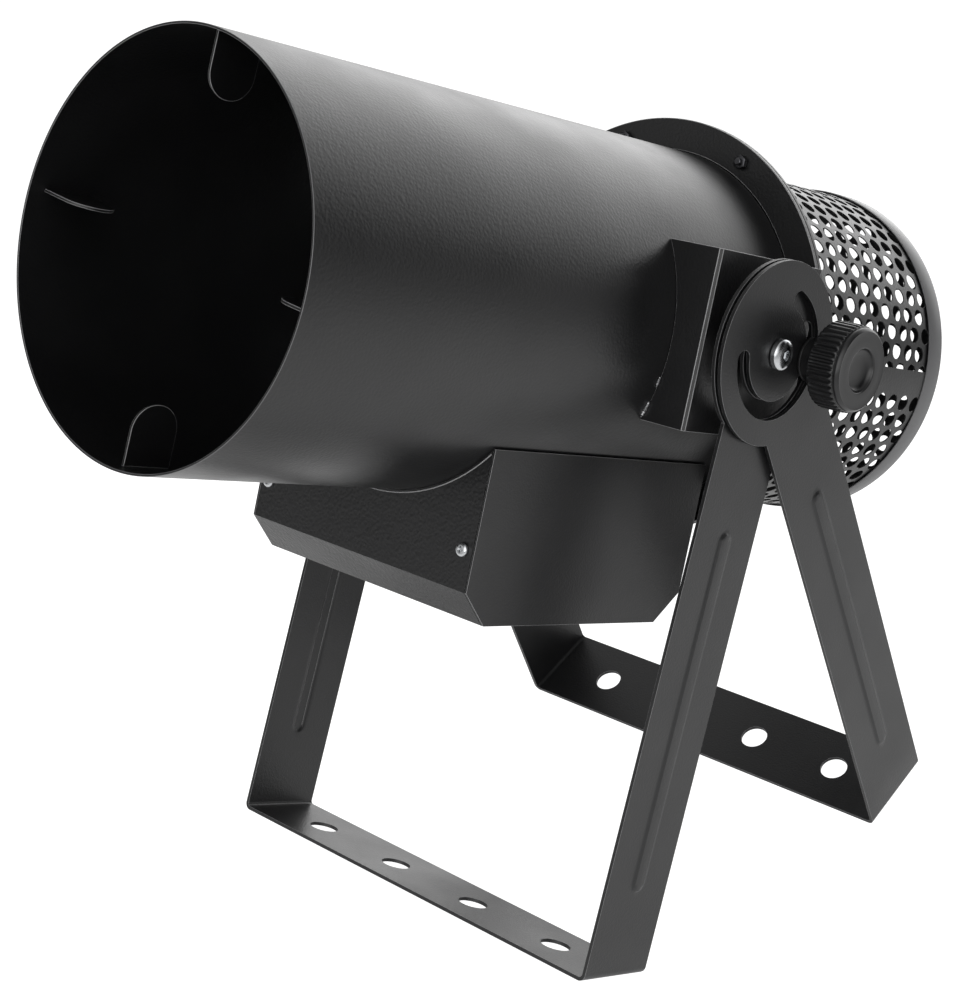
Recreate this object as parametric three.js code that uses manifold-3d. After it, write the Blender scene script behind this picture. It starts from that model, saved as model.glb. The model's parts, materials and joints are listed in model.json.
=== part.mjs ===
// Confetti blower: a steel barrel with a fan and a perforated intake cage behind it,
// hung between two slotted yokes that stand as an A-frame. Lengths in millimetres, +Z up.
// The barrel is modelled along Y, muzzle towards -Y, and is then pitched about the pivots.
import * as THREE from "three";
import { mergeVertices } from "three/addons/utils/BufferGeometryUtils.js";
import Module from "manifold-3d";

const wasm = await Module();
wasm.setup();

const DEGREES = Math.PI / 180;
const TURN = 2 * Math.PI;

// Clearances and cutting allowances shared by all pieces
const GAP = 0.3; // between two pieces that touch
const OVERRUN = 1; // how far a cutting solid runs past the face that it cuts
const WELD = 0.0001; // vertices nearer than this are one

// The barrel is a rolled steel tube, with its flange welded on behind the pivots.
const tube = { radius: 100, wall: 1.2, muzzle: 294, tail: 60 };
const bore = tube.radius - tube.wall;

// Four rounded tabs stand inside the muzzle and hold the load back.
const tab = { height: 29, width: 26, sheet: 1.5, inset: 8.5, corner: 12.5 };
const tabAngles = {
  right: -6.5 * DEGREES,
  top: 87.5 * DEGREES,
  left: 172.5 * DEGREES,
  bottom: 267.5 * DEGREES,
};

// Two plates are bolted face to face: the barrel's flange and the plate that carries the fan.
const flange = { rim: 18, sheet: 2.5, boltInset: 9, boltCount: 8, firstBolt: 20.5 * DEGREES };
const flangeBolt = { shank: 2, clearance: 2.4, headRadius: 4, head: 2.4, nutRadius: 4, nut: 3.2, tip: 2 };
const fanPlate = { margin: 8.8, hubMargin: 3, armWidth: 18, armCount: 4 };

// Rolled perforated sheet with a plain strip at its seam, closed by an end ring and a grille.
// The cage lies inset from the tube's radius, and the ring over the cage.
const cage = {
  inset: 2,
  sheet: 1,
  reach: 224,
  columnCount: 18,
  plainStrip: 9,
  margin: 6,
  seam: -2.3 * DEGREES,
  holeShare: 0.82,
};
const endRing = { over: 1.5, sheet: 1, overlap: 12, proud: 4, lip: 8, round: 3 };
const grille = { sheet: 1, pitch: 30, border: 2 };

// Motor, shaft and impeller sit in the barrel's tail, with a guard between them and the load.
const motor = { radius: 44, length: 58, nose: 17, noseLength: 6, boreDepth: 30 };
const shaft = { radius: 5, clearance: 0.5, proud: 3 };
const impeller = {
  hub: 32,
  depth: 34,
  wall: 4,
  tipClearance: 4.8,
  bladeCount: 7,
  chord: 46,
  thickness: 2.4,
  rootPitch: 52 * DEGREES,
  tipPitch: 28 * DEGREES,
  behindGuard: 22,
  sectionCount: 3,
};
const guard = { sheet: 1.6, rim: 8, bar: 4, hub: 16, spokeCount: 6, ringCount: 2, fromPivot: 76 };

// Folded brackets on the barrel's sides carry the pivots.
const bracket = { standOff: 19, front: 44.5, rear: 48, halfHeight: 46, sheet: 2, bend: 4.5 };
const pivot = { rise: 4.5, shank: 4, clearance: 0.3, socket: 2.6, socketDepth: 2.5 };
const button = { radius: 8, height: 5, dome: 2.6 }; // the pivot bolts' button heads
const hexNut = { radius: 7.5, height: 6.5, threadProud: 2 };
const spacer = { radius: 13, thickness: 9.2 };
const discWasher = { radius: 15, thickness: 1.2 };

// Two U-shaped yokes of strip: the front one folds inside the rear one.
const yoke = {
  sheet: 2,
  width: 52,
  disc: 47.7,
  bend: 4,
  slotRadius: 29.5,
  slotWidth: 10,
  slotHalfAngle: 121 * DEGREES,
  mountHole: 8.25,
  mountPitch: 60,
  mountCount: 4,
};
const frontLeg = 330;
const nestGap = 4; // between the two straps when the yokes are folded together
const rib = { width: 9.5, rise: 1, slope: 1.5, top: 94, aboveStrap: 46 };

// Clamp knobs behind the pivots: their studs run through both yokes' slots.
const knob = {
  radius: 22.8,
  ribCount: 24,
  ribDepth: 1.2,
  hub: 12.5,
  hubDepth: 10.3,
  ribbedDepth: 16,
  faceDepth: 3,
  faceRound: 1.6,
  dimple: 11.4,
  dimpleDepth: 3.5,
  socketDepth: 14,
};
const clampWasher = { radius: 12, thickness: 1.5 };
const clampSpacerRadius = 8;

// The control box hangs under the barrel: a folded tray between two side plates. Its walls
// drop past the tube to a shoulder, and from there the chamfers lead to the floor.
const box = {
  front: 133,
  rear: 40,
  drop: 35.5,
  chamferHeight: 16.5,
  chamfer: 17.5,
  halfWidth: 78,
  sheet: 1.2,
};
const boxTab = { width: 15, height: 16 };
const boxScrew = {
  shank: 1.5,
  clearance: 1.9,
  headRadius: 3.6,
  head: 2,
  inset: 7.6,
  aboveShoulder: 20,
  tip: 2,
};
const board = { sideMargin: 18, frontMargin: 21, rearMargin: 56, sheet: 1.6, lift: 5, post: 3.5 };
const boardParts = {
  transformer: { side: -1, fromSide: 28, fromRear: 24, width: 34, length: 40, height: 26 },
  relay: { side: 1, fromSide: 26, fromRear: 24, width: 22, length: 28, height: 16 },
  terminal: { side: 1, fromSide: 32, fromRear: 68, width: 44, length: 12, height: 12 },
};

// Inlet, rocker switch and push button on the box's rear wall
const inlet = {
  x: 0,
  aboveShoulder: 17,
  width: 28,
  height: 20.5,
  depth: 22,
  lipWidth: 33,
  lipHeight: 26,
  lip: 2.5,
  wall: 2,
  cavity: 16,
};
const rocker = {
  fromSide: 32,
  aboveShoulder: 24.5,
  width: 13,
  height: 19,
  depth: 16,
  lipWidth: 17,
  lipHeight: 23,
  lip: 1.8,
  wall: 1.4,
  pocket: 9,
  swing: 20 * DEGREES,
  rise: 3.2,
  pinRadius: 1.4,
  pinHole: 1.7,
  endClearance: 1.2,
  pinClearance: 0.6,
};
const fireButton = {
  fromSide: 32,
  aboveShoulder: 24.5,
  bezel: 9.5,
  lip: 2,
  barrel: 7.6,
  cap: 5.6,
  travel: 2,
  proud: 3,
  depth: 14,
  pocket: 9,
};

// How the blower stands in the photograph
const pose = { spread: 45.4 * DEGREES, frontLegAheadOfBarrel: 3.4 * DEGREES };

// Fineness of round shapes, in segments of a full turn
const fineSegments = 48;
const broadSegments = 32;
const mediumSegments = 18;
const coarseSegments = 12;
const smallSegments = 8;
const hexagonSides = 6;
const bendSteps = 3; // straight steps round a sheet's bend
const slotSteps = 14; // straight steps along each side of a yoke's arc slot
const armSteps = 5; // straight steps along each curved side of a fan plate window
const guardSteps = 2; // the same for a guard window

// Derived radii round the barrel's axis
const flangeRadius = tube.radius + flange.rim;
const boltCircle = flangeRadius - flange.boltInset;
const windowRadius = bore - fanPlate.margin;
const plateHub = motor.radius + fanPlate.hubMargin;
const cageRadius = tube.radius - cage.inset;
const ringRadius = cageRadius + endRing.over;
const impellerTip = bore - impeller.tipClearance;

// Derived places along the pivots' axis, from the bracket outwards
const bracketReach = tube.radius + bracket.standOff;
const frontYokeInner = bracketReach + GAP + spacer.thickness + GAP;
const frontYokeOuter = frontYokeInner + yoke.sheet;
const rearYokeInner = frontYokeOuter + GAP + discWasher.thickness + GAP;
const rearYokeOuter = rearYokeInner + yoke.sheet;
const rearLeg = frontLeg + nestGap + yoke.sheet;

// Derived places along the barrel
const flangeRear = tube.tail + flange.sheet;
const fanPlateFront = flangeRear + GAP;
const fanPlateRear = fanPlateFront + flange.sheet;
const motorRear = fanPlateFront - GAP;
const motorFront = motorRear - motor.length;
const ringFront = cage.reach - endRing.overlap;
const ringRear = cage.reach + endRing.proud;

// Derived places on the control box, as drops below the barrel's axis and sideways from it
const boxShoulder = tube.radius + box.drop;
const boxFloor = boxShoulder + box.chamferHeight;
const boxScrewDrop = boxShoulder - boxScrew.aboveShoulder;
const inletDrop = boxShoulder - inlet.aboveShoulder;
const rockerDrop = boxShoulder - rocker.aboveShoulder;
const rockerX = rocker.fromSide - box.halfWidth;
const buttonDrop = boxShoulder - fireButton.aboveShoulder;
const buttonX = box.halfWidth - fireButton.fromSide;

// Materials
function finish(color, roughness, metalness) {
  return new THREE.MeshStandardMaterial({ color, roughness, metalness });
}
const powderBlack = finish(0x1d1d1e, 0.62, 0.1);
const satinBlack = finish(0x242425, 0.5, 0.2);
const zincSteel = finish(0xb9bbbd, 0.35, 1);
const mouldedBlack = finish(0x1a1a1b, 0.55, 0);
const nylonWhite = finish(0xd9d7cf, 0.6, 0);
const motorGrey = finish(0x5c6064, 0.5, 0.7);
const circuitGreen = finish(0x21543a, 0.5, 0);
const buttonRed = finish(0x9c1d1a, 0.4, 0);

// A closed geometry as a solid that can be cut and joined
function solid(geometry) {
  const bare = geometry.index ? geometry.toNonIndexed() : geometry.clone();
  bare.deleteAttribute("normal");
  bare.deleteAttribute("uv");
  const merged = mergeVertices(bare, WELD);
  const mesh = new wasm.Mesh({
    numProp: 3,
    vertProperties: merged.attributes.position.array,
    triVerts: new Uint32Array(merged.index.array),
  });
  return new wasm.Manifold(mesh);
}

function joined(pieces) {
  return pieces.reduce((whole, piece) => whole.add(piece));
}

function cut(body, tools) {
  return tools.reduce((rest, tool) => rest.subtract(tool), body);
}

// A named mesh of a finished solid
function part(name, body, material) {
  const made = body.getMesh();
  const geometry = new THREE.BufferGeometry();
  geometry.setAttribute("position", new THREE.BufferAttribute(made.vertProperties, 3));
  geometry.setIndex(new THREE.BufferAttribute(made.triVerts, 1));
  geometry.computeVertexNormals();
  const mesh = new THREE.Mesh(geometry, material);
  mesh.name = name;
  return mesh;
}

// The same solid on the other side of the barrel: X changes sign and each triangle turns over.
function mirrored(body) {
  const made = body.getMesh();
  const places = made.vertProperties.slice();
  for (let i = 0; i < places.length; i += 3) places[i] = -places[i];
  const turned = made.triVerts.slice();
  for (let i = 0; i < turned.length; i += 3) {
    turned[i] = made.triVerts[i + 1];
    turned[i + 1] = made.triVerts[i];
  }
  return new wasm.Manifold(new wasm.Mesh({ numProp: 3, vertProperties: places, triVerts: turned }));
}

function outline(points) {
  return new THREE.Shape(points.map(([x, y]) => new THREE.Vector2(x, y)));
}

// Points along an arc, both ends included
function arc(x, y, radius, start, end, steps) {
  return Array.from({ length: steps + 1 }, (_, i) => {
    const angle = start + ((end - start) * i) / steps;
    return [x + radius * Math.cos(angle), y + radius * Math.sin(angle)];
  });
}

function circle(x, y, radius, segments) {
  return arc(x, y, radius, 0, TURN, segments).slice(1);
}

function hole(points) {
  return new THREE.Path(points.map(([x, y]) => new THREE.Vector2(x, y)));
}

function extruded(shape, depth) {
  return new THREE.ExtrudeGeometry(shape, { depth, bevelEnabled: false });
}

// A plate drawn as seen from behind the muzzle, X right and Z up, and thick along Y
function plateAcross(shape, front, thickness) {
  const plate = extruded(shape, thickness);
  return solid(plate.rotateX(Math.PI / 2).translate(0, front + thickness, 0));
}

// Turns what is drawn in X and Y, thick along Z, to lie in Y and Z, thick along X
const sideways = new THREE.Matrix4().makeBasis(
  new THREE.Vector3(0, 1, 0),
  new THREE.Vector3(0, 0, 1),
  new THREE.Vector3(1, 0, 0),
);

// A plate drawn in Y and Z, and thick along X
function plateAlong(shape, inner, thickness) {
  return solid(extruded(shape, thickness).applyMatrix4(sideways).translate(inner, 0, 0));
}

// A level plate drawn in X and Y, and thick along Z
function plateLevel(shape, bottom, thickness) {
  return solid(extruded(shape, thickness).translate(0, 0, bottom));
}

// A block between two places on each axis
function block(x0, x1, y0, y1, z0, z1) {
  const geometry = new THREE.BoxGeometry(x1 - x0, y1 - y0, z1 - z0);
  return solid(geometry.translate((x0 + x1) / 2, (y0 + y1) / 2, (z0 + z1) / 2));
}

// A turned piece: its profile holds radii and places along the axis, and runs up the outside.
function turnedAlongY(profile, segments) {
  const points = profile.map(([radius, along]) => new THREE.Vector2(radius, along));
  return solid(new THREE.LatheGeometry(points, segments));
}

function turnedAlongX(profile, segments, y, z) {
  const points = profile.map(([radius, along]) => new THREE.Vector2(radius, along));
  const geometry = new THREE.LatheGeometry(points, segments);
  return solid(geometry.rotateZ(-Math.PI / 2).translate(0, y, z));
}

function rodProfile(radius, start, end) {
  return [
    [0, start],
    [radius, start],
    [radius, end],
    [0, end],
  ];
}

function collarProfile(inner, outer, start, end) {
  return [
    [inner, start],
    [outer, start],
    [outer, end],
    [inner, end],
    [inner, start],
  ];
}

function moved(body, x, y, z) {
  const made = body.getMesh();
  const geometry = new THREE.BufferGeometry();
  geometry.setAttribute("position", new THREE.BufferAttribute(made.vertProperties.slice(), 3));
  geometry.setIndex(new THREE.BufferAttribute(made.triVerts.slice(), 1));
  return solid(geometry.translate(x, y, z));
}

// Barrel tube, with the space for its fan and its load left open end to end
function barrelTube() {
  return turnedAlongY(collarProfile(bore, tube.radius, -tube.muzzle, tube.tail), fineSegments);
}

// One muzzle tab: straight where it is welded to the bore, round where it reaches inwards
function muzzleTab(angle) {
  const foot = bore - GAP;
  const start = tab.inset - tube.muzzle;
  const end = start + tab.width;
  const crest = foot - tab.height;
  const centre = crest + tab.corner;
  const shape = outline([
    [start, foot],
    ...arc(start + tab.corner, centre, tab.corner, Math.PI, 1.5 * Math.PI, smallSegments),
    ...arc(end - tab.corner, centre, tab.corner, 1.5 * Math.PI, TURN, smallSegments),
    [end, foot],
  ]);
  const geometry = extruded(shape, tab.sheet).applyMatrix4(sideways).translate(-tab.sheet / 2, 0, 0);
  return solid(geometry.rotateY(Math.PI / 2 - angle));
}

// Places of the flange bolts around the barrel's axis
function boltPlaces() {
  return Array.from({ length: flange.boltCount }, (_, i) => {
    const angle = flange.firstBolt + (i * TURN) / flange.boltCount;
    return [boltCircle * Math.cos(angle), boltCircle * Math.sin(angle)];
  });
}

function boltHoles() {
  return boltPlaces().map(([x, y]) => hole(circle(x, y, flangeBolt.clearance, hexagonSides)));
}

function barrelFlange() {
  const shape = outline(circle(0, 0, flangeRadius, fineSegments));
  shape.holes.push(hole(circle(0, 0, tube.radius + GAP, fineSegments)), ...boltHoles());
  return plateAcross(shape, tube.tail, flange.sheet);
}

// A window between two circles and two straight bars, as in a spoked plate
function spokedWindow(inside, outside, bar, count, index, steps) {
  const half = TURN / count / 2;
  const middle = (index + 1 / 2) * 2 * half;
  const outerHalf = half - Math.asin(bar / 2 / outside);
  const innerHalf = half - Math.asin(bar / 2 / inside);
  return hole([
    ...arc(0, 0, outside, middle - outerHalf, middle + outerHalf, steps),
    ...arc(0, 0, inside, middle + innerHalf, middle - innerHalf, steps),
  ]);
}

function fanMountPlate() {
  const shape = outline(circle(0, 0, flangeRadius, fineSegments));
  const windows = Array.from({ length: fanPlate.armCount }, (_, i) =>
    spokedWindow(plateHub, windowRadius, fanPlate.armWidth, fanPlate.armCount, i, armSteps),
  );
  shape.holes.push(...windows, ...boltHoles());
  return plateAcross(shape, fanPlateFront, flange.sheet);
}

// A pan-head bolt from behind, with its nut on the barrel's side
function flangeBoltSolid([x, z]) {
  const front = tube.tail - GAP;
  const head = turnedAlongY(
    [
      [0, front - flangeBolt.nut - flangeBolt.tip],
      [flangeBolt.shank, front - flangeBolt.nut - flangeBolt.tip],
      [flangeBolt.shank, fanPlateRear + GAP],
      [flangeBolt.headRadius, fanPlateRear + GAP],
      [flangeBolt.headRadius, fanPlateRear + GAP + flangeBolt.head / 2],
      [flangeBolt.headRadius / 2, fanPlateRear + GAP + flangeBolt.head],
      [0, fanPlateRear + GAP + flangeBolt.head],
    ],
    hexagonSides,
  );
  const nut = turnedAlongY(rodProfile(flangeBolt.nutRadius, front - flangeBolt.nut, front), hexagonSides);
  return moved(head.add(nut), x, 0, z);
}

// The cage's sheet laid flat: X runs round the cage from the seam, Y runs to the rear.
function flatCage(length, circumference) {
  const half = (circumference - GAP) / 2;
  const perforated = circumference - 2 * cage.plainStrip;
  const pitch = perforated / (cage.columnCount + 1 / 2);
  const rowPitch = (pitch * Math.sqrt(3)) / 2;
  const rows = Math.floor((length - 2 * cage.margin) / rowPitch);
  const firstRow = (length - (rows - 1) * rowPitch) / 2;
  const steps = 2 * cage.columnCount;
  const edge = Array.from({ length: steps + 1 }, (_, i) => -half + (2 * half * i) / steps);
  const sheet = outline([...edge.map((x) => [x, 0]), ...edge.reverse().map((x) => [x, length])]);
  for (let row = 0; row < rows; row += 1) {
    const shift = row % 2 ? pitch : pitch / 2;
    for (let column = 0; column < cage.columnCount; column += 1) {
      const x = -perforated / 2 + shift + column * pitch;
      sheet.holes.push(hexHole(x, firstRow + row * rowPitch, (cage.holeShare * pitch) / Math.sqrt(3)));
    }
  }
  return sheet;
}

// A six-sided hole with a corner at its top
function hexHole(x, y, radius) {
  return hole(arc(x, y, radius, Math.PI / 2, Math.PI / 2 - TURN, hexagonSides).slice(1));
}

// The perforated sheet rolled round the barrel's axis, its edges meeting at the seam
function intakeCage() {
  const front = fanPlateRear + GAP;
  const length = cage.reach - front;
  const inner = cageRadius - cage.sheet;
  const flat = extruded(flatCage(length, TURN * cageRadius), cage.sheet);
  const places = flat.attributes.position;
  for (let i = 0; i < places.count; i += 1) {
    const angle = cage.seam + Math.PI - places.getX(i) / cageRadius;
    const radius = inner + places.getZ(i);
    places.setXYZ(i, radius * Math.cos(angle), front + places.getY(i), radius * Math.sin(angle));
  }
  return solid(flat);
}

function cageEndRing() {
  const inner = ringRadius - endRing.sheet;
  const roundX = ringRadius - endRing.round;
  const roundY = ringRear - endRing.round;
  return turnedAlongY(
    [
      [inner, ringFront],
      [ringRadius, ringFront],
      ...arc(roundX, roundY, endRing.round, 0, Math.PI / 2, bendSteps),
      [inner - endRing.lip, ringRear],
      [inner - endRing.lip, ringRear - endRing.sheet],
      [roundX, ringRear - endRing.sheet],
      [inner, roundY],
      [inner, ringFront],
    ],
    broadSegments,
  );
}

// A perforated disc held against the end ring's lip
function rearGrille() {
  const radius = ringRadius - endRing.sheet - endRing.round;
  const shape = outline(circle(0, 0, radius, broadSegments));
  const rowPitch = (grille.pitch * Math.sqrt(3)) / 2;
  const rows = Math.ceil(radius / rowPitch);
  for (let row = -rows; row <= rows; row += 1) {
    const shift = row % 2 ? grille.pitch / 2 : 0;
    for (let column = -rows; column <= rows; column += 1) {
      const x = column * grille.pitch + shift;
      const z = row * rowPitch;
      if (Math.hypot(x, z) < radius - grille.border - grille.pitch / 2) {
        shape.holes.push(hexHole(x, z, (cage.holeShare * grille.pitch) / Math.sqrt(3)));
      }
    }
  }
  return plateAcross(shape, ringRear - endRing.sheet - GAP - grille.sheet, grille.sheet);
}

// Spokes and rings that keep the load off the impeller
function loadGuard() {
  const outer = bore - GAP;
  const shape = outline(circle(0, 0, outer, fineSegments));
  const band = (outer - guard.rim - guard.hub) / guard.ringCount;
  for (let ring = 0; ring < guard.ringCount; ring += 1) {
    const inside = guard.hub + ring * band + (ring ? guard.bar / 2 : 0);
    const outside = guard.hub + (ring + 1) * band - (ring < guard.ringCount - 1 ? guard.bar / 2 : 0);
    for (let spoke = 0; spoke < guard.spokeCount; spoke += 1) {
      shape.holes.push(spokedWindow(inside, outside, guard.bar, guard.spokeCount, spoke, guardSteps));
    }
  }
  return plateAcross(shape, -guard.fromPivot, guard.sheet);
}

// The motor's can, with a nose bearing and a bore that its shaft runs in
function fanMotor() {
  const can = turnedAlongY(
    [
      [0, motorFront],
      [motor.nose, motorFront],
      [motor.nose, motorFront + motor.noseLength],
      [motor.radius - motor.noseLength, motorFront + motor.noseLength],
      [motor.radius, motorFront + 2 * motor.noseLength],
      [motor.radius, motorRear],
      [0, motorRear],
    ],
    mediumSegments,
  );
  const hole = turnedAlongY(
    rodProfile(shaft.radius + shaft.clearance, motorFront - OVERRUN, motorFront + motor.boreDepth),
    coarseSegments,
  );
  return can.subtract(hole);
}

const impellerFront = -guard.fromPivot + guard.sheet + impeller.behindGuard;
const impellerRear = impellerFront + impeller.depth;

function fanShaft() {
  const end = motorFront + motor.boreDepth - GAP;
  return turnedAlongY(rodProfile(shaft.radius, impellerFront - shaft.proud, end), coarseSegments);
}

// A twisted blade, lofted through flat sections from the hub to the tip
function impellerBlade(index) {
  const positions = [];
  const indices = [];
  const root = impeller.hub - impeller.wall / 2;
  const middle = (impellerFront + impellerRear) / 2;
  for (let i = 0; i <= impeller.sectionCount; i += 1) {
    const share = i / impeller.sectionCount;
    const radius = root + share * (impellerTip - root);
    const pitch = impeller.rootPitch + share * (impeller.tipPitch - impeller.rootPitch);
    const chord = Math.min(impeller.chord, impeller.depth / Math.sin(pitch) - impeller.thickness);
    for (const [across, thick] of [[-1, -1], [1, -1], [1, 1], [-1, 1]]) {
      const along = (across * chord) / 2;
      const normal = (thick * impeller.thickness) / 2;
      const x = along * Math.cos(pitch) - normal * Math.sin(pitch);
      const y = along * Math.sin(pitch) + normal * Math.cos(pitch);
      const angle = (index * TURN) / impeller.bladeCount + x / radius;
      positions.push(radius * Math.cos(angle), middle + y, radius * Math.sin(angle));
    }
  }
  const corners = 4;
  indices.push(0, 1, 2, 0, 2, 3);
  for (let i = 0; i < impeller.sectionCount; i += 1) {
    for (let k = 0; k < corners; k += 1) {
      const a = i * corners + k;
      const b = i * corners + ((k + 1) % corners);
      indices.push(a, a + corners, b, b, a + corners, b + corners);
    }
  }
  const last = impeller.sectionCount * corners;
  indices.push(last, last + 2, last + 1, last, last + 3, last + 2);
  const geometry = new THREE.BufferGeometry();
  geometry.setAttribute("position", new THREE.Float32BufferAttribute(positions, 3));
  geometry.setIndex(indices);
  return solid(geometry);
}

function fanImpeller() {
  const web = shaft.radius + GAP;
  const inside = impeller.hub - impeller.wall;
  const hub = turnedAlongY(
    [
      [web, impellerFront],
      [impeller.hub - impeller.wall, impellerFront],
      [impeller.hub, impellerFront + impeller.wall],
      [impeller.hub, impellerRear],
      [inside, impellerRear],
      [inside, impellerFront + impeller.wall],
      [web + impeller.wall, impellerFront + impeller.wall],
      [web + impeller.wall, impellerRear],
      [web, impellerRear],
      [web, impellerFront],
    ],
    mediumSegments,
  );
  return joined([hub, ...Array.from({ length: impeller.bladeCount }, (_, i) => impellerBlade(i))]);
}

const studY = yoke.slotRadius;

// Right-hand bracket: a channel folded from sheet, its front and rear flanges cut to the tube
function pivotBracket() {
  const top = pivot.rise + bracket.halfHeight;
  const root = Math.sqrt(tube.radius ** 2 - top ** 2) - OVERRUN;
  const front = -bracket.front;
  const rear = bracket.rear;
  const fold = bracketReach - bracket.bend;
  const inner = bracket.bend - bracket.sheet;
  const quarter = Math.PI / 2;
  const shape = outline([
    [root, front],
    ...arc(fold, front + bracket.bend, bracket.bend, -quarter, 0, bendSteps),
    ...arc(fold, rear - bracket.bend, bracket.bend, 0, quarter, bendSteps),
    [root, rear],
    [root, rear - bracket.sheet],
    ...arc(fold, rear - bracket.bend, inner, quarter, 0, bendSteps),
    ...arc(fold, front + bracket.bend, inner, 0, -quarter, bendSteps),
    [root, front + bracket.sheet],
  ]);
  const channel = plateLevel(shape, pivot.rise - bracket.halfHeight, 2 * bracket.halfHeight);
  const barrel = turnedAlongY(rodProfile(tube.radius + GAP, front - OVERRUN, rear + OVERRUN), fineSegments);
  const holeRadius = pivot.shank + pivot.clearance;
  const reach = rodProfile(holeRadius, bracketReach - bracket.sheet - OVERRUN, bracketReach + OVERRUN);
  return cut(channel, [
    barrel,
    turnedAlongX(reach, coarseSegments, 0, pivot.rise),
    turnedAlongX(reach, coarseSegments, studY, pivot.rise),
  ]);
}

const nutOuter = bracketReach - bracket.sheet - GAP;
const nutInner = nutOuter - hexNut.height;
const threadEnd = nutInner - hexNut.threadProud;

// Button-head bolt with a hexagon socket
function pivotBolt() {
  const seat = rearYokeOuter + GAP;
  const top = seat + button.height;
  const dome = arc(0, 0, 1, 0, Math.PI / 2, bendSteps).map(([across, along]) => [
    button.radius * across,
    top - button.dome + button.dome * along,
  ]);
  const body = turnedAlongX(
    [[0, threadEnd], [pivot.shank, threadEnd], [pivot.shank, seat], [button.radius, seat], ...dome],
    coarseSegments,
    0,
    pivot.rise,
  );
  const socket = turnedAlongX(
    rodProfile(pivot.socket, top - pivot.socketDepth, top + OVERRUN),
    hexagonSides,
    0,
    pivot.rise,
  );
  return body.subtract(socket);
}

function hexNutSolid(y) {
  const nut = turnedAlongX(rodProfile(hexNut.radius, nutInner, nutOuter), hexagonSides, y, pivot.rise);
  const thread = turnedAlongX(
    rodProfile(pivot.shank + pivot.clearance, nutInner - OVERRUN, nutOuter + OVERRUN),
    coarseSegments,
    y,
    pivot.rise,
  );
  return nut.subtract(thread);
}

function collarAt(radius, inner, outer, y) {
  const holeRadius = pivot.shank + pivot.clearance;
  return turnedAlongX(collarProfile(holeRadius, radius, inner, outer), coarseSegments, y, pivot.rise);
}

// Clamp stud: moulded into the knob, threaded through both slots into the bracket's nut
function clampStud() {
  return turnedAlongX(rodProfile(pivot.shank, threadEnd, studOuter), coarseSegments, studY, pivot.rise);
}

const knobBack = rearYokeOuter + GAP + clampWasher.thickness + GAP;
const knobFront = knobBack + knob.hubDepth + knob.ribbedDepth + knob.faceDepth;
const studOuter = knobBack + knob.socketDepth - GAP;

// Outline of the knob's grip, a ridge and a valley for each rib
function ribbedOutline() {
  const points = Array.from({ length: 2 * knob.ribCount }, (_, i) => {
    const radius = i % 2 ? knob.radius - knob.ribDepth : knob.radius;
    const angle = (i * TURN) / (2 * knob.ribCount);
    return [studY + radius * Math.cos(angle), pivot.rise + radius * Math.sin(angle)];
  });
  return outline(points);
}

function clampKnob() {
  const ribsStart = knobBack + knob.hubDepth;
  const ribsEnd = ribsStart + knob.ribbedDepth;
  const grip = plateAlong(ribbedOutline(), ribsStart, knob.ribbedDepth);
  const faceRadius = knob.radius - knob.ribDepth;
  const core = turnedAlongX(
    [
      [0, knobBack],
      [knob.hub, knobBack],
      [knob.hub, ribsStart],
      [faceRadius - knob.ribDepth, ribsStart],
      [faceRadius - knob.ribDepth, ribsEnd],
      [faceRadius, ribsEnd],
      [faceRadius, knobFront - knob.faceRound],
      [faceRadius - knob.faceRound, knobFront],
      [knob.dimple, knobFront],
      [knob.dimple - knob.faceRound, knobFront - knob.dimpleDepth],
      [0, knobFront - knob.dimpleDepth],
    ],
    mediumSegments,
    studY,
    pivot.rise,
  );
  const bore = pivot.shank + pivot.clearance;
  const socket = turnedAlongX(
    rodProfile(bore, knobBack - OVERRUN, knobBack + knob.socketDepth),
    coarseSegments,
    studY,
    pivot.rise,
  );
  return core.add(grip).subtract(socket);
}

// A yoke in its own frame: the pivots' axis along X, the legs straight down
function yokeSolid(outer, leg) {
  const inner = outer - yoke.sheet;
  const legTop = -Math.sqrt(yoke.disc ** 2 - (yoke.width / 2) ** 2) + OVERRUN;
  const strip = plateAcross(stripProfile(outer, leg, legTop), -yoke.width / 2, yoke.width);
  const right = yokeDisc(inner);
  const rightRib = pressedRib(outer, leg);
  const rightGroove = pressedRib(inner, leg);
  const body = joined([strip, right, mirrored(right), rightRib, mirrored(rightRib)]);
  return cut(body, [rightGroove, mirrored(rightGroove), ...mountHoles(leg)]);
}

// The strip's centre section seen along Y: two legs and the strap, with round bends
function stripProfile(outer, leg, top) {
  const inner = outer - yoke.sheet;
  const innerBend = yoke.bend - yoke.sheet;
  const bendX = outer - yoke.bend;
  const bendZ = yoke.bend - leg;
  const quarter = Math.PI / 2;
  return outline([
    [outer, top],
    [inner, top],
    ...arc(bendX, bendZ, innerBend, 0, -quarter, bendSteps),
    ...arc(-bendX, bendZ, innerBend, -quarter, -2 * quarter, bendSteps),
    [-inner, top],
    [-outer, top],
    ...arc(-bendX, bendZ, yoke.bend, 2 * quarter, 3 * quarter, bendSteps),
    ...arc(bendX, bendZ, yoke.bend, -quarter, 0, bendSteps),
  ]);
}

// The round head of a leg, with the pivot hole and the arc slot that the stud travels in
function yokeDisc(inner) {
  const shape = outline(circle(0, 0, yoke.disc, broadSegments));
  shape.holes.push(hole(circle(0, 0, pivot.shank + pivot.clearance, coarseSegments)), arcSlot());
  return plateAlong(shape, inner, yoke.sheet);
}

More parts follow.
